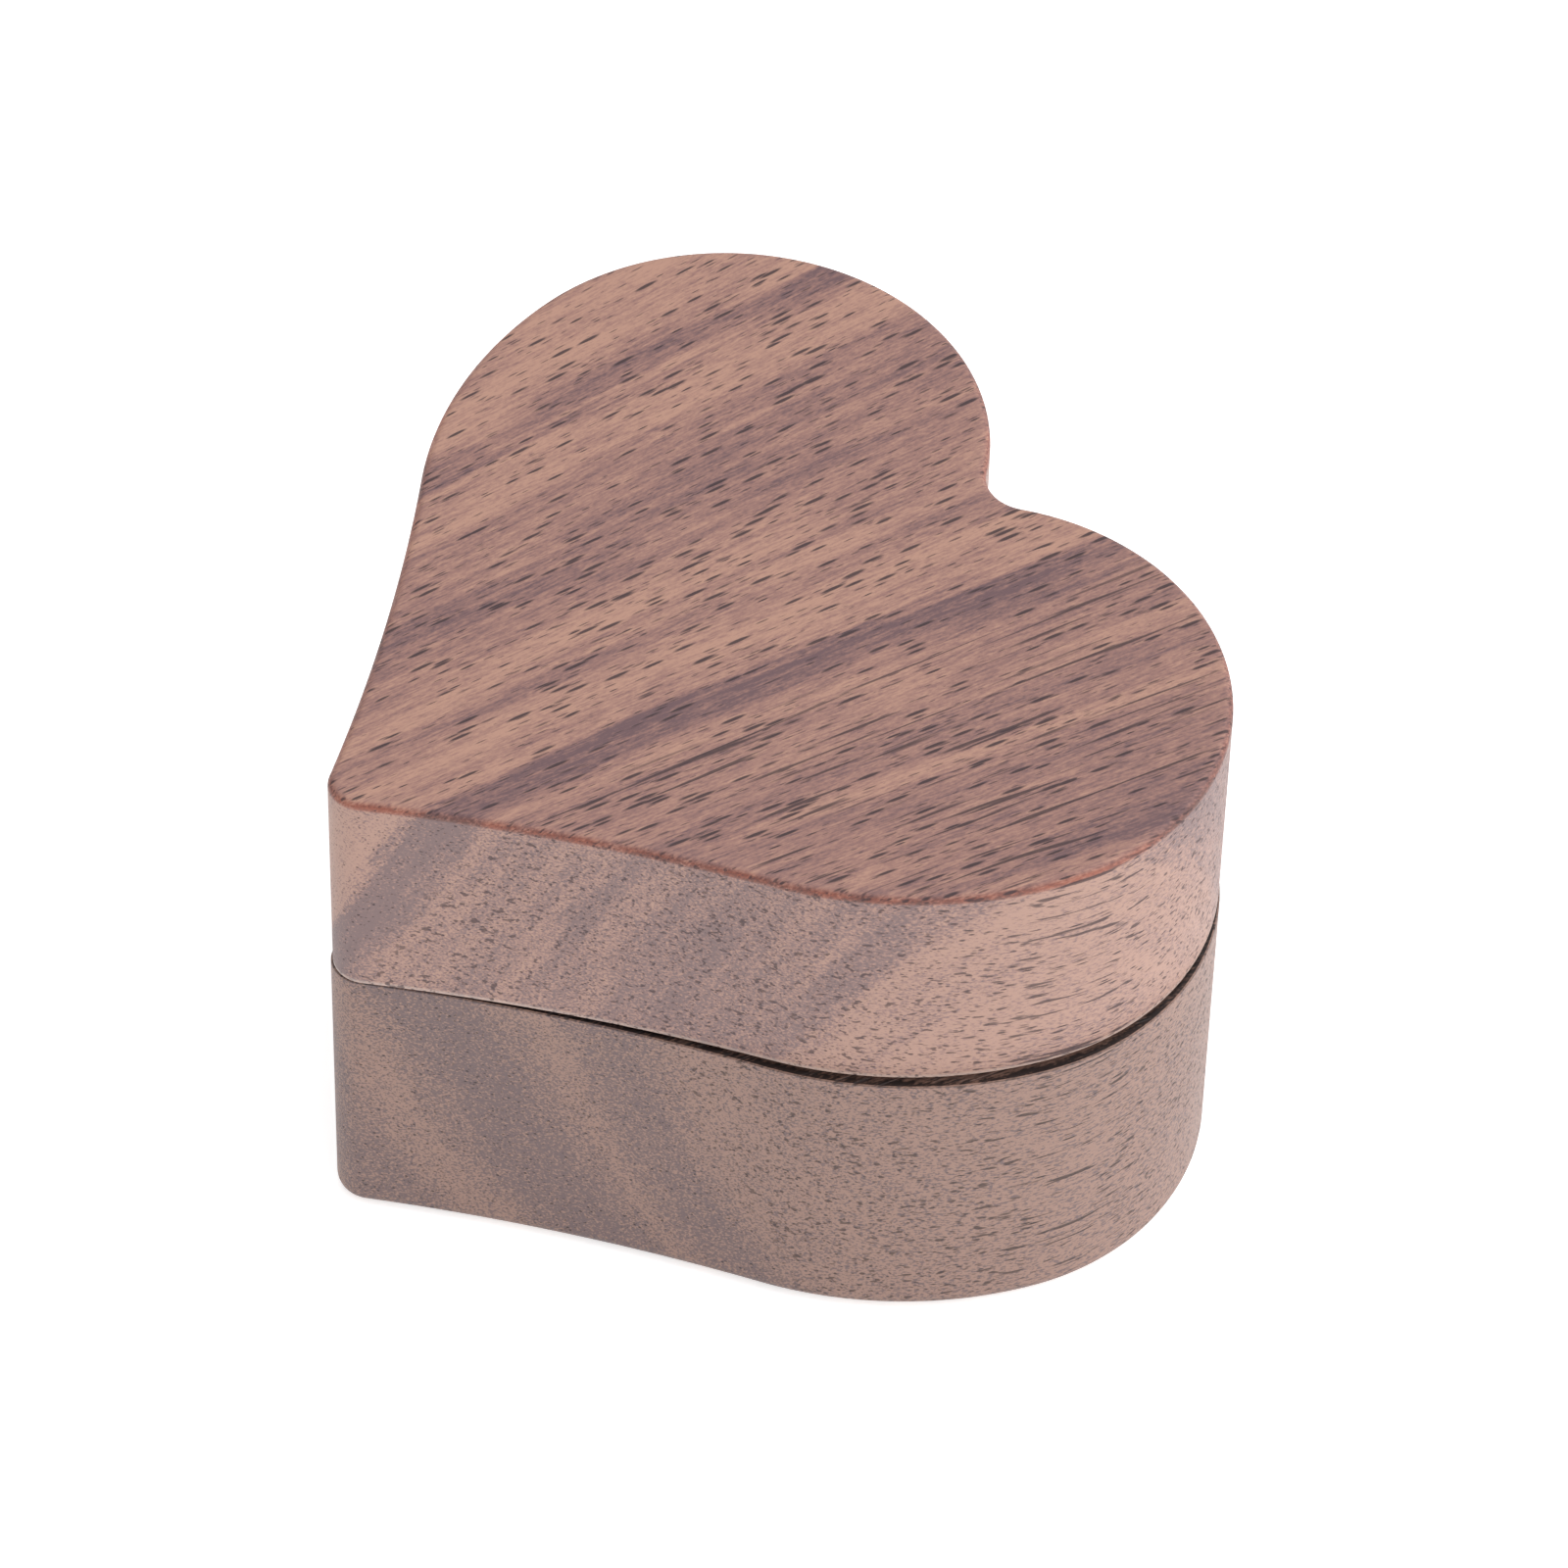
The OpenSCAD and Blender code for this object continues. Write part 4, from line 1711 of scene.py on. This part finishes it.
@dataclass
class Studio:
    """A white sweep, a soft white sky, a broad key light and the camera.

    Attributes:
        azimuth: how far the camera stands round from the front, towards the right, in degrees.
        elevation: how far it looks down, in degrees.
        roll: how far it is tilted, in degrees.
        distance: its distance from the point it looks at.
        aim: that point.
        lens: its focal length.
        sensor: its sensor's width.
        sky: strength of the sky on its dim side.
        glow: how much stronger it is on its bright side.
        bright_side: the direction of the bright side.
    """

    azimuth: float = 57.23
    elevation: float = 47.29
    roll: float = 1.54
    distance: float = 576.2
    aim: tuple[float, float, float] = (-1.12, 6.91, 20.18)
    lens: float = 196.6
    sensor: float = 36.0
    sky: float = 0.7
    glow: float = 0.95
    bright_side: tuple[float, float, float] = (0.69, 0.69, 0.2)

    def camera(self) -> None:
        """Stand the camera where it looks at the tip, the right flank and the top."""
        a, e = math.radians(self.azimuth), math.radians(self.elevation)
        back = Vector((math.sin(a) * math.cos(e), -math.cos(a) * math.cos(e), math.sin(e)))
        right = Vector((math.cos(a), math.sin(a), 0))
        up = back.cross(right)
        turn = Matrix((right, up, back)).transposed() @ Matrix.Rotation(math.radians(self.roll), 3, "Z")
        data = bpy.data.cameras.new("camera")
        data.lens, data.sensor_width = self.lens, self.sensor
        data.clip_start, data.clip_end = 0.01, 50
        eye = bpy.data.objects.new("camera", data)
        place = (Vector(self.aim) + back * self.distance) * MM
        eye.matrix_world = Matrix.Translation(place) @ turn.to_4x4()
        bpy.context.scene.collection.objects.link(eye)
        bpy.context.scene.camera = eye

    def softbox(self, name: str, towards: tuple[float, float, float], away: float, size: float,
                power: float) -> None:
        """Hang a square softbox that faces the box.

        Args:
            name: its name.
            towards: the direction in which it hangs, seen from the box.
            away: its distance in metres.
            size: its side in metres.
            power: its power in watts.
        """
        data = bpy.data.lights.new(name, "AREA")
        data.size, data.energy = size, power
        lamp = bpy.data.objects.new(name, data)
        way = Vector(towards).normalized()
        lamp.matrix_world = Matrix.Translation(way * away) @ way.to_track_quat("Z", "Y").to_matrix().to_4x4()
        bpy.context.scene.collection.objects.link(lamp)

    def floor(self) -> None:
        """Lay the white, backlit sheet of acrylic that the box stands on."""
        reach = 3000.0
        obj = new_object("floor", np.array([
            (-reach, -reach, 0), (reach, -reach, 0), (reach, reach, 0), (-reach, reach, 0)]), [(0, 1, 2, 3)])
        material, tree, shader = new_material("backlit_white_acrylic")
        join(tree, shader, {"Base Color": linear("f0f0f0"), "Roughness": 0.9,
                            "Emission Color": linear("ffffff"), "Emission Strength": 0.5})
        obj.data.materials.append(material)

    def build(self) -> None:
        """Set up the floor, the lights, the sky and the camera."""
        self.floor()
        self.camera()
        world = bpy.data.worlds.new("soft_white_sky")
        world.use_nodes = True
        tree = world.node_tree
        across = add(tree, "ShaderNodeVectorMath", {"operation": "DOT_PRODUCT"}, {
            0: add(tree, "ShaderNodeTexCoord").outputs["Generated"], 1: self.bright_side})
        glow = add(tree, "ShaderNodeMapRange", {"interpolation_type": "SMOOTHSTEP"}, {
            "Value": across.outputs["Value"], "From Min": -0.2, "From Max": 1.0,
            "To Min": self.sky, "To Max": self.sky + self.glow})
        join(tree, tree.nodes["Background"], {"Color": linear("ffffff"), "Strength": glow})
        bpy.context.scene.world = world
        bpy.context.scene.view_settings.view_transform = "Standard"
        self.softbox("key", (0.75, 0.75, 0.6), 1.0, 1.0, 3.0)
        self.softbox("top", (-0.1, 0.2, 1.0), 1.0, 0.8, 1.5)


def main() -> None:
    """Build the box, its swivel and its studio, in order."""
    logging.basicConfig(level=logging.INFO, format="%(name)s: %(message)s")
    finishes = Finishes(
        lid_wood=LID_BOARD.material(), base_wood=BASE_BOARD.material(), velvet=VELVET.material(),
        foam=FOAM.material(), card=CARD.material(), nylon=NYLON.material(), brass=BRASS.material(),
        steel=STEEL.material(), nickel=NICKEL.material())
    heart = Heart()
    Base(heart, finishes).build()
    Lid(heart, finishes).build()
    Pivot(finishes).build()
    Studio().build()


if __name__ == "__main__":
    main()
